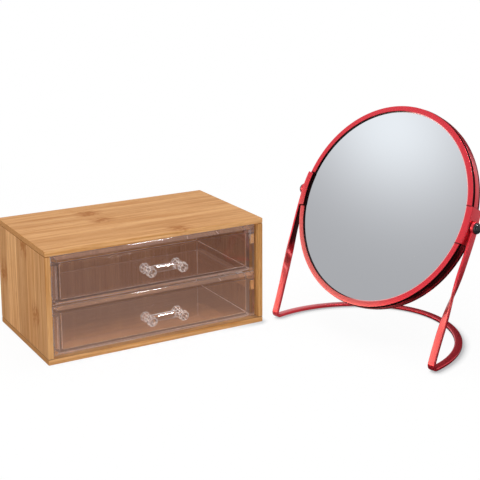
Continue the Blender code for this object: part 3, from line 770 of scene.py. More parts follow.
class VanityDrawers(bpy.types.PropertyGroup):
    """The clear drawers."""

    bevel_width: length("Bevel width", "Width of the mitred bevel round a front", 0.0038)
    bevel_depth: length("Bevel depth", "Depth of the mitred bevel", 0.0022)
    wall: length("Wall", "Thickness of a tray's walls and floor", 0.0022)
    corner: length("Corner", "Outer radius of a tray's lower and back corners", 0.0030)
    pocket_corner: length("Pocket corner", "Inner radius of a tray's corners", 0.0024)
    inset: length("Inset", "Distance of a tray's side from its flange's outer edge", 0.0053)
    flange: length("Flange", "Thickness of the flanges", 0.0020)
    edge: length("Edge", "Radius of the polished edges", 0.0007)
    bar_radius: length("Bar", "Radius of the handles' cross bars", 0.0035)
    facet_edge: length("Facet edge", "Width of the handles' polished facet edges", 0.0002)
    acrylic_roughness: portion("Roughness", "Roughness of the acrylic", 0.012)
    acrylic_tint: colour_of("Acrylic", "Tint of the clear acrylic", (0.975, 0.955, 0.955))
    handle_tint: colour_of("Handle acrylic", "Tint of the clear handles", (0.995, 0.99, 0.985))
    acrylic_shadow: colour_of("Shadow tint", "Tint of the light that passes", (0.97, 0.96, 0.96))
    # Painted light: the glows stand in for light scattered in the acrylic, the bevels' for a painted reflection of
    # the studio, and the edges' for painted glints.
    lower_painted_glow: colour_of("Lower glow", "Light that the lower drawer scatters", (0.022, 0.0124, 0.0088))
    upper_painted_glow: colour_of("Upper glow", "Light that the upper drawer scatters", (0.012, 0.0062, 0.0045))
    bevel_painted_reflection: colour_of("Bevel glow", "Light that the fronts' bevels scatter", (0.135, 0.080, 0.058))
    edge_painted_glint: number("Edge glow", "How bright the moulded edges are", 1.5)


class VanityMirror(bpy.types.PropertyGroup):
    """The tilting mirror disc."""

    pivot: spot_of("Pivot", "Middle of the line through the two pivots", joint_place("mirror_tilt"))
    yaw: angle("Turn", "Turn of the stand", math.radians(-75.8))
    tilt: angle("Tilt", "Lean of the disc", math.radians(26.5))
    drop: length("Pivot drop", "How far the pivots lie below the disc's middle", 0.0015)
    radius: length("Rim radius", "Outer radius of the rim", 0.1004)
    depth: length("Rim depth", "Depth of the rim, front to back", 0.0132)
    shave: length("Shave", "How far the finer rim stays inside the plain one", 0.0001)
    wall: length("Rim wall", "Thickness of the rim's outer wall", 0.0015)
    lip: length("Lip", "Thickness of the rim's lips", 0.0011)
    lip_width: length("Lip width", "Width of the rim's lips", 0.0065)
    front_step: length("Front step", "How far the front ring lies inside the rim's radius", 0.0006)
    groove_setback: length("Groove setback", "Distance of the groove from the front", 0.0007)
    groove_width: length("Groove width", "Width of the groove behind the front corner", 0.0027)
    groove_depth: length("Groove depth", "Depth of that groove", 0.0012)
    clip: length("Clip", "Thickness of the clips", 0.0010)
    clip_edge: length("Clip edge", "Radius of the clips' edges", 0.00018)
    clip_lip_width: length("Clip lip", "Width of the clips' lips", 0.0057)
    clip_angle: angle("Clip angle", "Half the angle of a clip", math.radians(10))
    glass_radius: length("Glass radius", "Radius of the glasses", 0.0952)
    glass: length("Glass", "Thickness of the front glass", 0.0020)
    magnifier: length("Magnifier", "Thickness of the rear glass", 0.0018)
    magnifier_sag: length("Magnifier sag", "Hollow of the rear glass", 0.0032)
    gap: length("Gap", "Room between neighbouring parts", 0.0003)
    head_radius: length("Screw head", "Radius of the screw heads", 0.0052)
    head_height: length("Head height", "Height of the screw heads", 0.0040)
    shank_radius: length("Shank", "Radius of the screws", 0.0020)
    washer_radius: length("Washer", "Radius of the washers", 0.0043)
    washer: length("Washer thickness", "Thickness of the washers", 0.0006)
    washer_edge: length("Washer edge", "Radius of the washers' edges", 0.00015)
    nut: length("Nut", "Thickness of the nuts", 0.0026)
    steps: IntProperty(name="Steps", description="Steps round half the rim", default=160, min=8)
    lacquer_colour: colour_of("Lacquer", "Colour of the red lacquer", (0.77, 0.030, 0.048))
    lacquer_metal: portion("Metal", "How metallic the lacquer looks", 0.7)
    lacquer_roughness: portion("Roughness", "Roughness of the lacquer's base", 0.27)
    mirror_colour: colour_of("Mirror", "Tint of the silvered glass", (0.804, 0.813, 0.839))


class VanityStand(bpy.types.PropertyGroup):
    """The bent strip that carries the mirror."""

    width: length("Strip width", "Width of the strip", 0.0075)
    thickness: length("Strip thickness", "Thickness of the strip", 0.0029)
    corner: length("Strip corner", "Radius of the strip's edges", 0.0009)
    eyelet_radius: length("Eyelet radius", "Radius of the eyelets", 0.0062)
    eyelet: length("Eyelet", "Thickness of the eyelets", 0.0029)
    eyelet_edge: length("Eyelet edge", "Radius of the eyelets' edges", 0.0007)
    bore: length("Bore", "Radius of the holes for the screws", 0.0023)
    foot_half: length("Foot spacing", "Half the distance between the feet", 0.0978)
    foot_forward: length("Foot forward", "How far the feet stand before the pivots", 0.0520)
    bend: length("Foot bend", "Radius of the bend at each foot", 0.0040)
    loop_forward: length("Loop forward", "How far the loop's centre lies before the pivots", 0.0443)
    loop_reach: length("Loop reach", "Depth of the floor loop", 0.1078)
    loop_power: number("Loop form", "Squareness of the loop", 1.036)
    bow: length("Bow", "Forward bow of the uprights", 0.0012)
    twist_start: portion("Twist start", "Share of the height at which the twist starts", 0.21)
    twist_end: portion("Twist end", "Share of the height at which the twist ends", 0.69)


class VanityStage(bpy.types.PropertyGroup):
    """Camera, lights and floor."""

    camera_place: spot_of("Camera", "Place of the camera", (-0.44059, -1.00206, 0.40508))
    camera_turn: angle("Turn", "Turn of the camera", 0.53626)
    camera_drop: angle("Drop", "How far the camera looks down", 0.20268)
    camera_lens: number("Lens", "Focal length in millimetres", FOCAL_PIXELS / FRAME_PIXELS * SENSOR_WIDTH)
    shift_x: number("Shift across", "Camera shift", -0.05231)
    shift_y: number("Shift up", "Camera shift", -0.2)
    soft_light: number("Soft light", "Even light from all round", 0.56)
    floor_reach: length("Floor", "Half the width of the floor", 6.0)
    floor_drop: length("Floor drop", "How far the floor lies below the set", 0.0004)
    inside_glow: colour_of("Inside", "What reflections within the acrylic show", (0.22, 0.135, 0.105))
    # The floor's painted contact shadows are kept about the stand's spot.
    stand_spot: spot_of("Stand shadow", "Where the floor keeps the stand's shadow", (0.24, -0.15, 0))
    dark_spot: spot_of("Dark spot", "Where the floor shows dark in the rim", (0.27, -0.27, 0))


# Mirror geometry


def stand_frame(settings):
    """Origin on the floor under the pivots, and the stand's own X, Y and Z as rows."""
    yaw = settings.yaw
    across = np.array((math.cos(yaw), math.sin(yaw), 0))
    back = np.array((-math.sin(yaw), math.cos(yaw), 0))
    origin = np.array((settings.pivot[0], settings.pivot[1], 0))
    return origin, np.array((across, back, (0, 0, 1)))


def disc_frame(settings):
    """Centre of the disc, and its own axes as rows: across, back and up."""
    _, (across, back, up) = stand_frame(settings)
    lean = settings.tilt
    disc_back = math.cos(lean) * back - math.sin(lean) * up
    disc_up = math.sin(lean) * back + math.cos(lean) * up
    centre = np.array(settings.pivot) + settings.drop * disc_up
    return centre, np.array((across, disc_back, disc_up))


def arc(name, settings, outline, start, sweep, steps):
    """A section carried round the disc: point = centre + r (cos a across + sin a up) - h back."""
    centre, (across, back, up) = disc_frame(settings)
    a = np.linspace(start, start + sweep, steps + 1)[:, None, None]
    r, h = outline[None, :, 0, None], outline[None, :, 1, None]
    grid = centre + r * (np.cos(a) * across + np.sin(a) * up) - h * back
    return shell(name, grid)


def both_lips(front):
    """A section's front half and its mirror image."""
    return np.array(front + [(radius, -offset) for radius, offset in reversed(front)])


def rim_section(settings):
    """The rim: a channel open to the centre, with a fine groove behind each corner."""
    half, radius = settings.depth / 2, settings.radius - settings.shave
    lip = settings.radius - settings.lip_width
    inner = radius - settings.wall
    start = half - settings.groove_setback
    end = start - settings.groove_width
    floor = radius - settings.groove_depth
    slope = settings.groove_width / 4
    step = radius - settings.front_step
    edge = 0.00032
    front = [
        (inner, half - settings.lip),
        (lip, half - settings.lip),
        (lip, half),
        (step, half),
        (step, start),
        (floor, start - slope),
        (floor, end + slope),
        (radius, end),
    ]
    return eased(both_lips(front), edge, 5)


def clip_section(settings):
    """A clip: it wraps the rim from lip to lip."""
    half = settings.depth / 2 + settings.gap
    outer_half = half + settings.clip
    inner = settings.radius + settings.gap
    outer = inner + settings.clip
    lip = settings.radius - settings.clip_lip_width
    setback, half_groove, groove_depth, edge = 0.0009, 0.0004, 0.0006, 0.0003
    groove = outer_half - setback
    front = [
        (inner, half),
        (lip, half),
        (lip, outer_half),
        (outer, outer_half),
        (outer, groove + half_groove),
        (outer - groove_depth, groove),
        (outer, groove - half_groove),
    ]
    return eased(both_lips(front), edge, 4)


def pivot_places(settings, stand):
    """Distances along the pivot line, from the middle outwards."""
    gap = settings.gap
    washer_in = settings.radius + gap + settings.clip + gap
    washer_out = washer_in + settings.washer
    eyelet_in = washer_out + gap
    eyelet_out = eyelet_in + stand.eyelet
    nut_out = settings.radius - settings.wall - gap
    return {
        "washer_in": washer_in,
        "washer_out": washer_out,
        "eyelet_in": eyelet_in,
        "eyelet_out": eyelet_out,
        "head_in": eyelet_out + gap,
        "nut_in": nut_out - settings.nut,
    }


def collar(bore, radius, places, part):
    """The outline of a flat ring about the pivot line, between the part's two places along it."""
    start, end = places[f"{part}_in"], places[f"{part}_out"]
    return [(bore, end), (radius, end), (radius, start), (bore, start)]


def even_rise(share):
    """A smooth rise from 0 to 1 with level ends."""
    share = np.clip(share, 0, 1)
    return share * share * (3 - 2 * share)


def strip_route(settings, stand):
    """Middle line and axes of the right half of the strip, from the loop's middle to the eyelet.

    On the floor: x = half spacing sin(a)^p, y = reach cos(a)^p - forward. At the foot: a circle. Then
    up to the pivot, where x eases over, y leans back with a slight bow, and the section twists by a
    quarter turn.
    """
    low = stand.thickness / 2
    places = pivot_places(settings, stand)
    top_x = (places["eyelet_in"] + places["eyelet_out"]) / 2
    lean = math.atan2(stand.foot_forward, settings.pivot[2] - low)
    turn = math.pi / 2 + lean
    bend_start = stand.bend * math.tan(turn / 2) - stand.foot_forward

    a = np.linspace(0, math.pi / 2, LOOP_STEPS)
    loop_x = stand.foot_half * np.sin(a) ** stand.loop_power
    loop_y = stand.loop_reach * np.maximum(np.cos(a), 0) ** stand.loop_power - stand.loop_forward
    loop = np.stack([loop_x, loop_y, np.full_like(a, low)], 1)

    b = np.linspace(0, turn, BEND_STEPS)[1:]
    foot_y = bend_start - stand.bend * np.sin(b)
    foot_z = low + stand.bend * (1 - np.cos(b))
    foot = np.stack([np.full_like(b, stand.foot_half), foot_y, foot_z], 1)

    share = np.linspace(0, 1, UPRIGHT_STEPS)[1:]
    up_x = stand.foot_half + (top_x - stand.foot_half) * even_rise(share)
    up_y = foot_y[-1] * (1 - share) - stand.bow * np.sin(math.pi * share)
    up_z = foot_z[-1] + (settings.pivot[2] - foot_z[-1]) * share
    strip_end = stand.bore + 0.0012
    keep = np.hypot(up_y, up_z - settings.pivot[2]) > strip_end
    upright = np.stack([up_x, up_y, up_z], 1)[keep]
    spread = stand.twist_end - stand.twist_start
    twist = math.pi / 2 * even_rise((share[keep] - stand.twist_start) / spread)

    route = np.vstack([loop, foot, upright])
    tangent = unit(np.gradient(route, axis=0))
    tangent[0] = (1, 0, 0)
    flat = np.cross((0, 0, 1), tangent)
    on_floor = np.arange(len(route)) < len(loop)
    wide = np.where(on_floor[:, None], flat, (1, 0, 0))
    wide = unit(wide - (wide * tangent).sum(1, keepdims=True) * tangent)
    thin = np.cross(tangent, wide)
    twists = np.concatenate([np.zeros(len(loop) + len(foot)), twist])[:, None]
    over = np.cos(twists) * wide - np.sin(twists) * thin
    through = np.sin(twists) * wide + np.cos(twists) * thin
    return route, over, through


def whole_strip(settings, stand):
    """The strip's surface: its rounded section carried along both halves of the route.

    point = line + s over + t through, for the section's (s, t).
    """
    flip = np.array((-1, 1, 1))
    halves = strip_route(settings, stand)
    line, over, through = (np.vstack([part[:0:-1] * flip, part]) for part in halves)
    half_wide, half_thin = stand.width / 2, stand.thickness / 2
    outline = plate_ring(half_wide, half_thin, stand.corner, 6)
    grid = line[:, None] + outline[None, :, :1] * over[:, None] + outline[None, :, 1:] * through[:, None]
    origin, axes = stand_frame(settings)
    return shell("strip", origin + grid @ axes)


# Operators


# How the boards are pressed: the axes along and across the grain, the strips as (place across, shade)
# and the knuckles as (place along, place across, strength).
BOARDS = {
    "cabinet_top_board": {
        "name": "bamboo_top",
        "axes": (0, 1),
        "strips": (
            (-0.070, 1.02), (-0.048, 0.97), (-0.0265, 1.03), (-0.004, 1.00), (0.018, 0.96), (0.040, 1.02),
        ),
        "knuckles": ((-0.029, 0.036, 1.0), (-0.027, 0.007, 0.9), (0.025, -0.0575, 0.8)),
        "seed": 1.3,
    },
    "cabinet_bottom_board": {
        "name": "bamboo_bottom",
        "axes": (0, 1),
        "strips": (
            (-0.070, 1.00), (-0.045, 1.04), (-0.021, 0.97), (0.003, 1.02), (0.025, 0.98), (0.047, 1.03),
        ),
        "seed": 4.1,
        # The bottom board's inner face, which looks up, is darkened by painted shade.
        "upper": 0.60,
    },
    "cabinet_left_side": {
        "name": "bamboo_left",
        "axes": (2, 1),
        "strips": ((-0.070, 0.94), (-0.041, 1.06), (-0.016, 0.92), (0.0115, 1.20), (0.042, 0.92)),
        "knuckles": ((0.057, 0.052, 1.0), (0.039, -0.037, 0.9), (0.098, -0.009, 0.8)),
        "shade": 0.98,
        "seed": 7.7,
    },
    "cabinet_right_side": {
        "name": "bamboo_right",
        "axes": (2, 1),
        "strips": (
            (-0.070, 1.02), (-0.044, 0.97), (-0.019, 1.03), (0.006, 0.95), (0.030, 1.01), (0.052, 0.98),
        ),
        "knuckles": ((0.071, 0.018, 0.9), (0.030, -0.031, 0.8)),
        "shade": 0.84,
        "seed": 9.2,
    },
    "cabinet_back_panel": {
        "name": "bamboo_back",
        "axes": (2, 0),
        "strips": [(-0.110 + 0.0245 * strip, 1.0 + 0.04 * (-1) ** strip) for strip in range(9)],
        "shade": 0.95,
        "seed": 11.0,
    },
}
RUNNER = {"axes": (1, 0), "strips": ((-0.12, 1.0), (0.12, 1.0)), "shade": 0.97}


class VANITY_OT_boards(bpy.types.Operator):
    """Bamboo on the cabinet's boards, its back panel and its runners"""

    bl_idname = "vanity.boards"
    bl_label = "Cabinet boards"

    def execute(self, context):
        settings = context.scene.vanity_cabinet
        for node, pressing in BOARDS.items():
            dress(node, bamboo(settings=settings, **pressing))
        for level, drawer in enumerate(DRAWERS):
            for hand, side in HANDS:
                node = f"runner_{drawer}_{hand}"
                dress(node, bamboo(f"bamboo_{node}", settings, seed=13 + level + side * 0.3, **RUNNER))
        keep_from_mirror(NODES[name] for name in frame["record"]["behaviour"]["bodies"]["cabinet"])
        return {"FINISHED"}


class VANITY_OT_fronts(bpy.types.Operator):
    """Drawer fronts: clear plates with a mitred bevel and polished edges"""

    bl_idname = "vanity.fronts"
    bl_label = "Drawer fronts"

    def execute(self, context):
        settings = context.scene.vanity_drawers
        finish = acrylic("acrylic_front", settings, settings.acrylic_tint, 0.03, bevelled=True)
        for drawer in DRAWERS:
            node = f"{drawer}_drawer_front"
            low, high = corners(node)
            middle, half = (low + high) / 2, (high - low) / 2
            edge, bevel = settings.edge, settings.bevel_width
            profile = [
                (3 * bevel, high[1]),
                (0, high[1]),
                (0, low[1] + settings.bevel_depth),
                (bevel, low[1]),
                (3 * bevel, low[1]),
            ]
            rows = eased(profile, edge, EDGE_STEPS)[EDGE_STEPS:-EDGE_STEPS]
            rings = [plate_ring(half[0] - inset, half[2] - inset, edge / 2, 3) for inset, _ in rows]
            grid = np.zeros((len(rows), len(rings[0]), 3))
            grid[:, :, (0, 2)] = np.array(rings) + middle[[0, 2]]
            grid[:, :, 1] = np.array([y for _, y in rows])[:, None]
            mesh = shell(node, grid)
            body = f"drawer_{drawer}"
            item = piece(f"{drawer}_front_plate", mesh, finish, body, [node], 20)
            weigh_normals(item)
        return {"FINISHED"}


def tray_ring(half_x, front, back, radius, height):
    """A tray's outline at one height: nearly square at the front, rounded by a radius at the back.

    Each corner is a quarter circle, centre + r (cos a, sin a).
    """
    turn = np.linspace(0, math.pi / 2, CORNER_STEPS)
    tip = 0.0002
    spots = [(half_x, back, radius), (-half_x, back, radius), (-half_x, front, tip), (half_x, front, tip)]
    rings = []
    for quarter, (x, y, r) in enumerate(spots):
        a = turn + quarter * math.pi / 2
        centre = np.array((x - math.copysign(r, x), y - r if y == back else y + r))
        rings.append(centre + r * np.stack([np.cos(a), np.sin(a)], -1))
    flat = np.vstack(rings)
    return np.column_stack([flat, np.full(len(flat), height)])


def pocket_ring(half_x, front, back, radius, inset, height):
    """The outline of a tray's hollow at one height, inset from its walls."""
    corner = max(radius - inset, LEAST_RADIUS)
    ring = plate_ring(half_x - inset, (back - front) / 2 - inset, corner, CORNER_STEPS)
    ring = ring + (0, (front + back) / 2)
    return np.column_stack([ring, np.full(len(ring), height)])


def tray_rings(node, half, settings):
    """A tray's outlines, one after another: up its outside, round its flange and down its hollow.

    half is half the tray's width under the flange. Below, the outside is a quarter circle,
    inset = r (1 - sin a) and height = r (1 - cos a), and the hollow ends in one too.
    """
    low, high = corners(node)
    front, back, base, rim = low[1], high[1], low[2], high[2]
    reach = (high[0] - low[0]) / 2
    radius, inner, wall = settings.corner, settings.pocket_corner, settings.wall
    under = rim - settings.flange
    ease, tip = 0.0002, 0.0006
    rows = []
    for a in np.linspace(0, math.pi / 2, CORNER_STEPS):
        inset = radius * (1 - math.sin(a))
        height = base + radius * (1 - math.cos(a))
        rows.append(tray_ring(half - inset, front, back - inset, max(radius - inset, LEAST_RADIUS), height))
    rows.append(tray_ring(half, front, back, radius, under))
    rows.append(tray_ring(reach - ease, front, back, tip - ease, under))
    rows.append(tray_ring(reach, front, back, tip, under + ease))
    rows.append(tray_ring(reach, front, back, tip, rim - ease))
    rows.append(tray_ring(reach - ease, front, back, tip - ease, rim))
    hollow = (half - wall, front + wall, back - wall, inner)
    rows.append(pocket_ring(*hollow, -ease, rim))
    rows.append(pocket_ring(*hollow, 0, rim - ease))
    for a in np.linspace(0, math.pi / 2, CORNER_STEPS):
        inset = inner * (1 - math.cos(a))
        rows.append(pocket_ring(*hollow, inset, base + wall + inner * (1 - math.sin(a))))
    return np.array(rows)


def mark_edges(mesh):
    """Give one narrow face of every rounded edge the second material."""
    normals = np.empty(3 * len(mesh.polygons))
    mesh.polygons.foreach_get("normal", normals)
    x, y, z = np.abs(normals.reshape(-1, 3)).T
    marked = np.zeros(len(x), bool)
    for first, second, third in ((z, x, y), (x, y, z), (z, y, x)):
        marked |= (first < second) & (first > 0.7 * second) & (third < 0.3)
    mesh.polygons.foreach_set("material_index", marked.astype(np.int32))


class VANITY_OT_trays(bpy.types.Operator):
    """Trays: clear moulded boxes with rounded corners and a flange along each side"""

    bl_idname = "vanity.trays"
    bl_label = "Drawer trays"

    def execute(self, context):
        settings = context.scene.vanity_drawers
        finish = acrylic("acrylic_tray", settings, settings.acrylic_tint, 1.4)
        painted_glint_finish = frosted_with_painted_glint("acrylic_tray_edge", settings, 0.75, 1.8)
        for drawer in DRAWERS:
            node = f"{drawer}_drawer_tray"
            half = corners(f"{drawer}_drawer_front")[1][0] - settings.inset
            mesh = shell(node, tray_rings(node, half, settings))
            body = f"drawer_{drawer}"
            item = piece(f"{drawer}_tray_box", mesh, finish, body, [node], 40)
            mesh.materials.append(painted_glint_finish)
            # The marked edge faces take the painted glint.
            mark_edges(mesh)
            # Reflections within the acrylic show the tray.
            item.visible_glossy = True
            weigh_normals(item)
        return {"FINISHED"}


def fuller_bar(mesh, node, radius):
    """Move the rings of a handle's cross bar out to a radius from its own axis. The posts stay."""
    bar_share = 0.6
    low, high = corners(node)
    middle, half = (low + high) / 2, (high - low) / 2
    points = np.empty(3 * len(mesh.vertices))
    mesh.vertices.foreach_get("co", points)
    points = points.reshape(-1, 3)
    arm = (points - middle) * (0, 1, 1)
    reach = np.linalg.norm(arm, axis=1)
    between_posts = np.abs(points[:, 0] - middle[0]) < half[0] * bar_share
    ours = between_posts & (reach < radius)
    points[ours] += arm[ours] * (radius / reach[ours] - 1)[:, None]
    mesh.vertices.foreach_set("co", points.ravel())
    mesh.update()
    return mesh


class VANITY_OT_handles(bpy.types.Operator):
    """Handles: two faceted posts and a cross bar in one clear piece, with facet edges that glow with a painted
    glint
    """

    bl_idname = "vanity.handles"
    bl_label = "Drawer handles"

    def execute(self, context):
        settings = context.scene.vanity_drawers
        finish = acrylic("acrylic_handle", settings, settings.handle_tint, 0.3)
        painted_glint_finish = frosted_with_painted_glint("acrylic_handle_edge", settings, 0.6, 1.8)
        for drawer in DRAWERS:
            node = f"{drawer}_drawer_handle"
            mesh = tidy(NODES[node].data.copy(), math.radians(2))
            mesh = fuller_bar(mesh, node, settings.bar_radius)
            body = f"drawer_{drawer}"
            item = piece(f"{drawer}_grip", mesh, finish, body, [node], 16)
            mesh.shade_flat()
            mesh.materials.append(painted_glint_finish)
            # The eased facet edges take the painted glint.
            ease_edges(item, settings.facet_edge, 1, 28).material = 1
        return {"FINISHED"}


class VANITY_OT_rim(bpy.types.Operator):
    """Rim: two half hoops of lacquered channel that meet at the pivots"""

    bl_idname = "vanity.rim"
    bl_label = "Mirror rim"

    def execute(self, context):
        settings = context.scene.vanity_mirror
        stand = context.scene.vanity_stand
        lip = settings.radius - settings.lip_width
        clip_lip = settings.radius - settings.clip_lip_width
        finish = lacquer("red_lacquer_rim", settings, shaded_lines, lip, True)
        clip_finish = lacquer("red_lacquer_clip", settings, shaded_lines, clip_lip, False)
        room = stand.bore / settings.radius
        drop = math.asin(settings.drop / settings.radius)
        half_turn = math.pi - 2 * room
        hoops = (
            ("rim_hoop_upper", room - drop, half_turn + 2 * drop),
            ("rim_hoop_lower", math.pi + room + drop, half_turn - 2 * drop),
        )
        section = rim_section(settings)
        for node, start, sweep in hoops:
            mesh = arc(node, settings, section, start, sweep, settings.steps)
            piece(f"{node}_channel", mesh, finish, "mirror_disc", [node], 50)
        section = clip_section(settings)
        half_angle = settings.clip_angle
        for node, middle in (("rim_clip_right", -drop), ("rim_clip_left", math.pi + drop)):
            mesh = arc(node, settings, section, middle - half_angle, 2 * half_angle, CLIP_STEPS)
            item = piece(f"{node}_sleeve", mesh, clip_finish, "mirror_disc", [node], 50)
            ease_edges(item, settings.clip_edge, 2, 60)
        return {"FINISHED"}


class VANITY_OT_glasses(bpy.types.Operator):
    """Front glass, and a magnifying glass behind it"""

    bl_idname = "vanity.glasses"
    bl_label = "Mirror glasses"

    def execute(self, context):
        settings = context.scene.vanity_mirror
        centre, (_, back, _) = disc_frame(settings)
        finish = silvering("silvered_glass", settings)
        face = settings.depth / 2 - settings.lip - settings.gap
        radius = settings.glass_radius
        rear = face - settings.glass
        edge = 0.0004
        flat = [
            (0, face),
            (radius - edge, face),
            (radius - edge / 4, face - edge / 4),
            (radius, face - edge),
            (radius, rear),
            (0, rear),
        ]
        mesh = turned("glass", flat, GLASS_STEPS, centre, -back)
        piece("front_glass_disc", mesh, finish, "mirror_disc", ["mirror_glass_front"], 8)
        share = np.linspace(0, 1, 40)
        rise = settings.magnifier_sag * (1 - share**2)
        inner = np.stack([share * radius, settings.magnifier - face + rise], 1)
        outer = np.stack([share * radius, rise - face], 1)[::-1]
        mesh = turned("magnifier", np.vstack([inner, outer]), DISH_STEPS, centre, -back)
        nodes = ["mirror_glass_magnifying"]
        piece("rear_glass_dish", mesh, finish, "mirror_disc", nodes, 30)
        grey = card("grey_card")
        dress("mirror_backing_card", grey)
        dress("mirror_spacer_ring", grey)
        return {"FINISHED"}


class VANITY_OT_pivots(bpy.types.Operator):
    """Domed black screws and washers, and the nuts inside the rim"""

    bl_idname = "vanity.pivots"
    bl_label = "Pivot screws"

    def execute(self, context):
        settings = context.scene.vanity_mirror
        stand = context.scene.vanity_stand
        places = pivot_places(settings, stand)
        _, (across, _, _) = disc_frame(settings)
        black = black_chrome("black_chrome")
        plated = zinc("zinc_nut")
        a = np.linspace(0, math.pi / 2, 20)
        dome_height = places["head_in"] + np.cos(a) * settings.head_height
        dome = np.stack([np.sin(a) * settings.head_radius, dome_height], 1)
        under_edge = 0.0003
        shank = [
            (settings.head_radius - under_edge, places["head_in"]),
            (settings.shank_radius, places["head_in"]),
            (settings.shank_radius, places["nut_in"]),
            (0, places["nut_in"]),
        ]
        screw = np.vstack([dome, shank])
        washer = collar(stand.bore, settings.washer_radius, places, "washer")
        washer = eased(washer, settings.washer_edge, 3)
        for hand, side in HANDS:
            name = f"pivot_screw_{hand}"
            mesh = turned(name, screw, SCREW_STEPS, settings.pivot, side * across)
            piece(f"{name}_dome", mesh, black, "mirror_disc", [name], 40)
            name = f"pivot_washer_{hand}"
            mesh = turned(name, washer, SCREW_STEPS, settings.pivot, side * across, loop=True)
            piece(f"{name}_ring", mesh, black, "mirror_disc", [name], 40)
            dress(f"pivot_nut_{hand}", plated)
        return {"FINISHED"}


class VANITY_OT_stand(bpy.types.Operator):
    """Stand: one bent strip with a floor loop, two feet, twisted uprights and eyelets"""

    bl_idname = "vanity.stand"
    bl_label = "Mirror stand"

    def execute(self, context):
        settings = context.scene.vanity_mirror
        stand = context.scene.vanity_stand
        places = pivot_places(settings, stand)
        _, (across, _, _) = stand_frame(settings)
        eye = collar(stand.bore, stand.eyelet_radius, places, "eyelet")
        eye = eased(eye, stand.eyelet_edge, 6)
        meshes = [whole_strip(settings, stand)]
        for _, side in HANDS:
            meshes.append(turned("eyelet", eye, EYELET_STEPS, settings.pivot, side * across, loop=True))
        finish = lacquer("red_lacquer_stand", settings, shaded_upright)
        mesh = joined("stand", meshes)
        piece("stand_bent_strip", mesh, finish, "mirror_stand", ["stand_strip"], 40)
        return {"FINISHED"}


def lamp(name, place, aim, size, power, matt=True, shiny=True):
    """A softbox at a place, turned towards another, that shows on matt surfaces, shiny ones or both."""
    data = bpy.data.lights.new(name, "AREA")
    data.shape = "RECTANGLE"
    data.size, data.size_y = size
    data.energy = power
    item = bpy.data.objects.new(name, data)
    item.location = place
    ahead = (Vector(place) - Vector(aim)).normalized()
    across = (Vector((1, 0, 0)) - ahead * ahead.x).normalized()
    item.rotation_euler = Matrix((across, ahead.cross(across), ahead)).transposed().to_euler()
    item.visible_diffuse = matt
    item.visible_glossy = shiny
    item.visible_transmission = False
    bpy.context.scene.collection.objects.link(item)


def studio_world(settings):
    """Even soft light, white to the eye, and a grey studio with brighter and darker parts for reflections.

    A place in it is a heading from +Y and a height, both in degrees.
    """
    world = bpy.data.worlds.new("studio")
    bpy.context.scene.world = world
    look = Finish("studio", world)
    direction = look.node("ShaderNodeTexCoord", output="Generated")
    height = look.split(direction)[2]

    def towards(spot):
        """The direction of a place."""
        heading, rise = np.radians(spot)
        flat = math.cos(rise)
        return np.array((math.sin(heading) * flat, math.cos(heading) * flat, math.sin(rise)))

    def near(spot, wide, tall):
        """A soft patch about a place: exp(-(a^2 + b^2)), a and b the angles from it over wide and tall."""
        heading = math.radians(spot[0])
        ahead = towards(spot)
        right = np.array((math.cos(heading), -math.sin(heading), 0))
        a = look.along(direction, right / math.radians(wide))
        b = look.along(direction, np.cross(right, ahead) / math.radians(tall))
        facing = look.along(direction, ahead).rise(0, 0.2)
        return ((a * a + b * b) * -1).math("EXPONENT") * facing

    dim_left = near((-147, 20), 50, 32)
    dim_right = near((112, 0), 34, 24)
    edge = math.radians(35)
    from_edge = look.along(direction, (math.cos(edge), -math.sin(edge), 0))
    dark_wall = from_edge.rise(-0.04, 0.04) * from_edge.rise(0.75, 0.5) * height.rise(0.75, 0.5)
    wall_level = 0.9
    level = (wall_level - dim_left * 0.84 - dim_right * 0.25) * (1 - dark_wall * 0.98)
    from_screen = look.vector("DISTANCE", direction, tuple(towards((-60.5, 26.5))), "Value")
    level = look.mix(from_screen.rise(0.17, 0.10), level, 0.506)
    cool_spot = near((-59, 30.2), 4.4, 3.7)
    warm_band = near((-66, 3), 26, 9) * height.rise(0.342, 0.259)
    strips = near((-171, 12), 5, 20) + near((-103, 12), 5, 20)
    level = level.top(0.01) + cool_spot * 0.558 + warm_band * 6 + strips * 4
    tint = look.blend(cool_spot, (0.97, 0.98, 1.0), (0.94, 0.98, 1.0))
    tint = look.blend(warm_band, tint, (1.0, 0.80, 0.52))

    seen = look.shine("Background", WHITE)
    lit = look.shine("Background", WHITE, (look.went("Transmission") * 1.4 + 1) * settings.soft_light)
    mirrored = look.shine("Background", tint, level)
    inside = look.shine("Background", settings.inside_glow)
    look.close(look.by_ray(seen, lit, mirrored, inside), "ShaderNodeOutputWorld")
    world.cycles.sampling_method = "NONE"


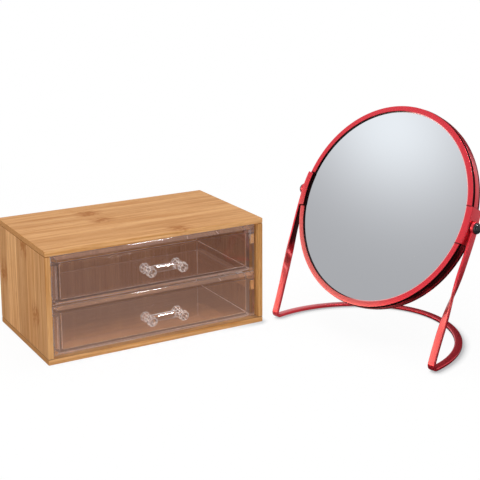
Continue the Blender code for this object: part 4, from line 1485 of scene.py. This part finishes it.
def floor_finish(settings):
    """White paper: it shows white, keeps faint real shadows and painted contact shadows, and looks grey in
    reflections.
    """
    look = Finish("white_paper")
    place = look.place()

    def away(spot):
        """Distance from a spot on the floor."""
        return look.vector("DISTANCE", place, spot, "Value")

    grain = look.noise(place, 260, 3, 0.6)
    colour = look.blend(grain, (0.93, 0.93, 0.93), (0.97, 0.97, 0.97))
    lit = look.node("ShaderNodeBsdfDiffuse", None, {"Color": colour})
    far = away((0, 0, 0)).rise(0.35, 0.75)
    seen = look.either(look.mix(far, 0.93, 1.0), lit, look.shine("Emission", WHITE))
    # Painted contact shadow: ambient occlusion about a leaning normal darkens the paper near the stand.
    lean = look.vector("NORMALIZE", (-0.42, 0.75, 0.5))
    about = {"Distance": 0.009, "Normal": lean}
    contact = look.node("ShaderNodeAmbientOcclusion", {"samples": 12}, about, "AO")
    by_stand = away(settings.stand_spot).rise(0.20, 0.12)
    painted_contact_shadow = contact.rise(0.95, 0.45) * (by_stand * 0.72 + 0.03)
    seen = look.either(painted_contact_shadow, seen, look.shine("Emission", (0.30, 0.30, 0.31)))
    level = away(settings.dark_spot).rise(0.10, 0.30) * 0.50 + 0.02
    mirrored = look.shine("Emission", WHITE, level)
    inside = look.shine("Emission", settings.inside_glow)
    return look.close(look.by_ray(seen, lit, mirrored, inside))


class VANITY_OT_stage(bpy.types.Operator):
    """Camera, lamps, world and floor"""

    bl_idname = "vanity.stage"
    bl_label = "Stage"

    def execute(self, context):
        settings = context.scene.vanity_stage
        scene = context.scene
        reach = settings.floor_reach
        side = np.linspace(-reach, reach, 9)
        x, y = np.meshgrid(side, side)
        grid = np.stack([x, y, np.full_like(x, -settings.floor_drop)], -1)
        floor = bpy.data.objects.new("floor", shell("floor", grid, ring=False, caps=False))
        floor.data.materials.append(floor_finish(settings))
        scene.collection.objects.link(floor)
        studio_world(settings)
        lamp("key", (-0.5, -0.7, 1.8), (0.05, -0.05, 0.05), (1.0, 1.0), 13, shiny=False)
        lamp("overhead", (0.25, 0.35, 1.7), (0.1, -0.05, 0.05), (1.2, 1.2), 9, shiny=False)
        lamp("window", (0.511, -0.586, 1.149), (-0.009, -0.064, 0.078), (0.090, 0.5), 9, matt=False)
        data = bpy.data.cameras.new("camera")
        data.sensor_width = SENSOR_WIDTH
        data.lens = settings.camera_lens
        data.shift_x, data.shift_y = settings.shift_x, settings.shift_y
        data.clip_start, data.clip_end = 0.01, 50
        camera = bpy.data.objects.new("camera", data)
        camera.location = settings.camera_place
        camera.rotation_euler = (math.pi / 2 - settings.camera_drop, 0, -settings.camera_turn)
        scene.collection.objects.link(camera)
        scene.camera = camera
        scene.view_settings.view_transform = "Standard"
        return {"FINISHED"}


class VANITY_PT_panel(bpy.types.Panel):
    """The set's pieces and their settings."""

    bl_idname = "VANITY_PT_panel"
    bl_label = "Vanity set"
    bl_space_type = "VIEW_3D"
    bl_region_type = "UI"
    bl_category = "Vanity"

    def draw(self, context):
        for operator in OPERATORS:
            self.layout.operator(operator.bl_idname)
        for name in GROUPS:
            group = getattr(context.scene, name)
            box = self.layout.box()
            box.label(text=type(group).__doc__)
            for key in group.bl_rna.properties.keys():
                if key not in ("rna_type", "name"):
                    box.prop(group, key)


OPERATORS = (
    VANITY_OT_boards,
    VANITY_OT_fronts,
    VANITY_OT_trays,
    VANITY_OT_handles,
    VANITY_OT_rim,
    VANITY_OT_glasses,
    VANITY_OT_pivots,
    VANITY_OT_stand,
    VANITY_OT_stage,
)
GROUPS = {
    "vanity_cabinet": VanityCabinet,
    "vanity_drawers": VanityDrawers,
    "vanity_mirror": VanityMirror,
    "vanity_stand": VanityStand,
    "vanity_stage": VanityStage,
}


def register():
    """Register the settings, the operators and the panel."""
    for name, group in GROUPS.items():
        bpy.utils.register_class(group)
        setattr(bpy.types.Scene, name, PointerProperty(type=group))
    for kind in (*OPERATORS, VANITY_PT_panel):
        bpy.utils.register_class(kind)


def unregister():
    """Take everything out again."""
    for kind in (VANITY_PT_panel, *reversed(OPERATORS)):
        bpy.utils.unregister_class(kind)
    for name, group in reversed(GROUPS.items()):
        delattr(bpy.types.Scene, name)
        bpy.utils.unregister_class(group)


def main():
    """Dress the whole set."""
    register()
    for operator in OPERATORS:
        category, name = operator.bl_idname.split(".")
        getattr(getattr(bpy.ops, category), name)()


if __name__ == "__main__":
    main()
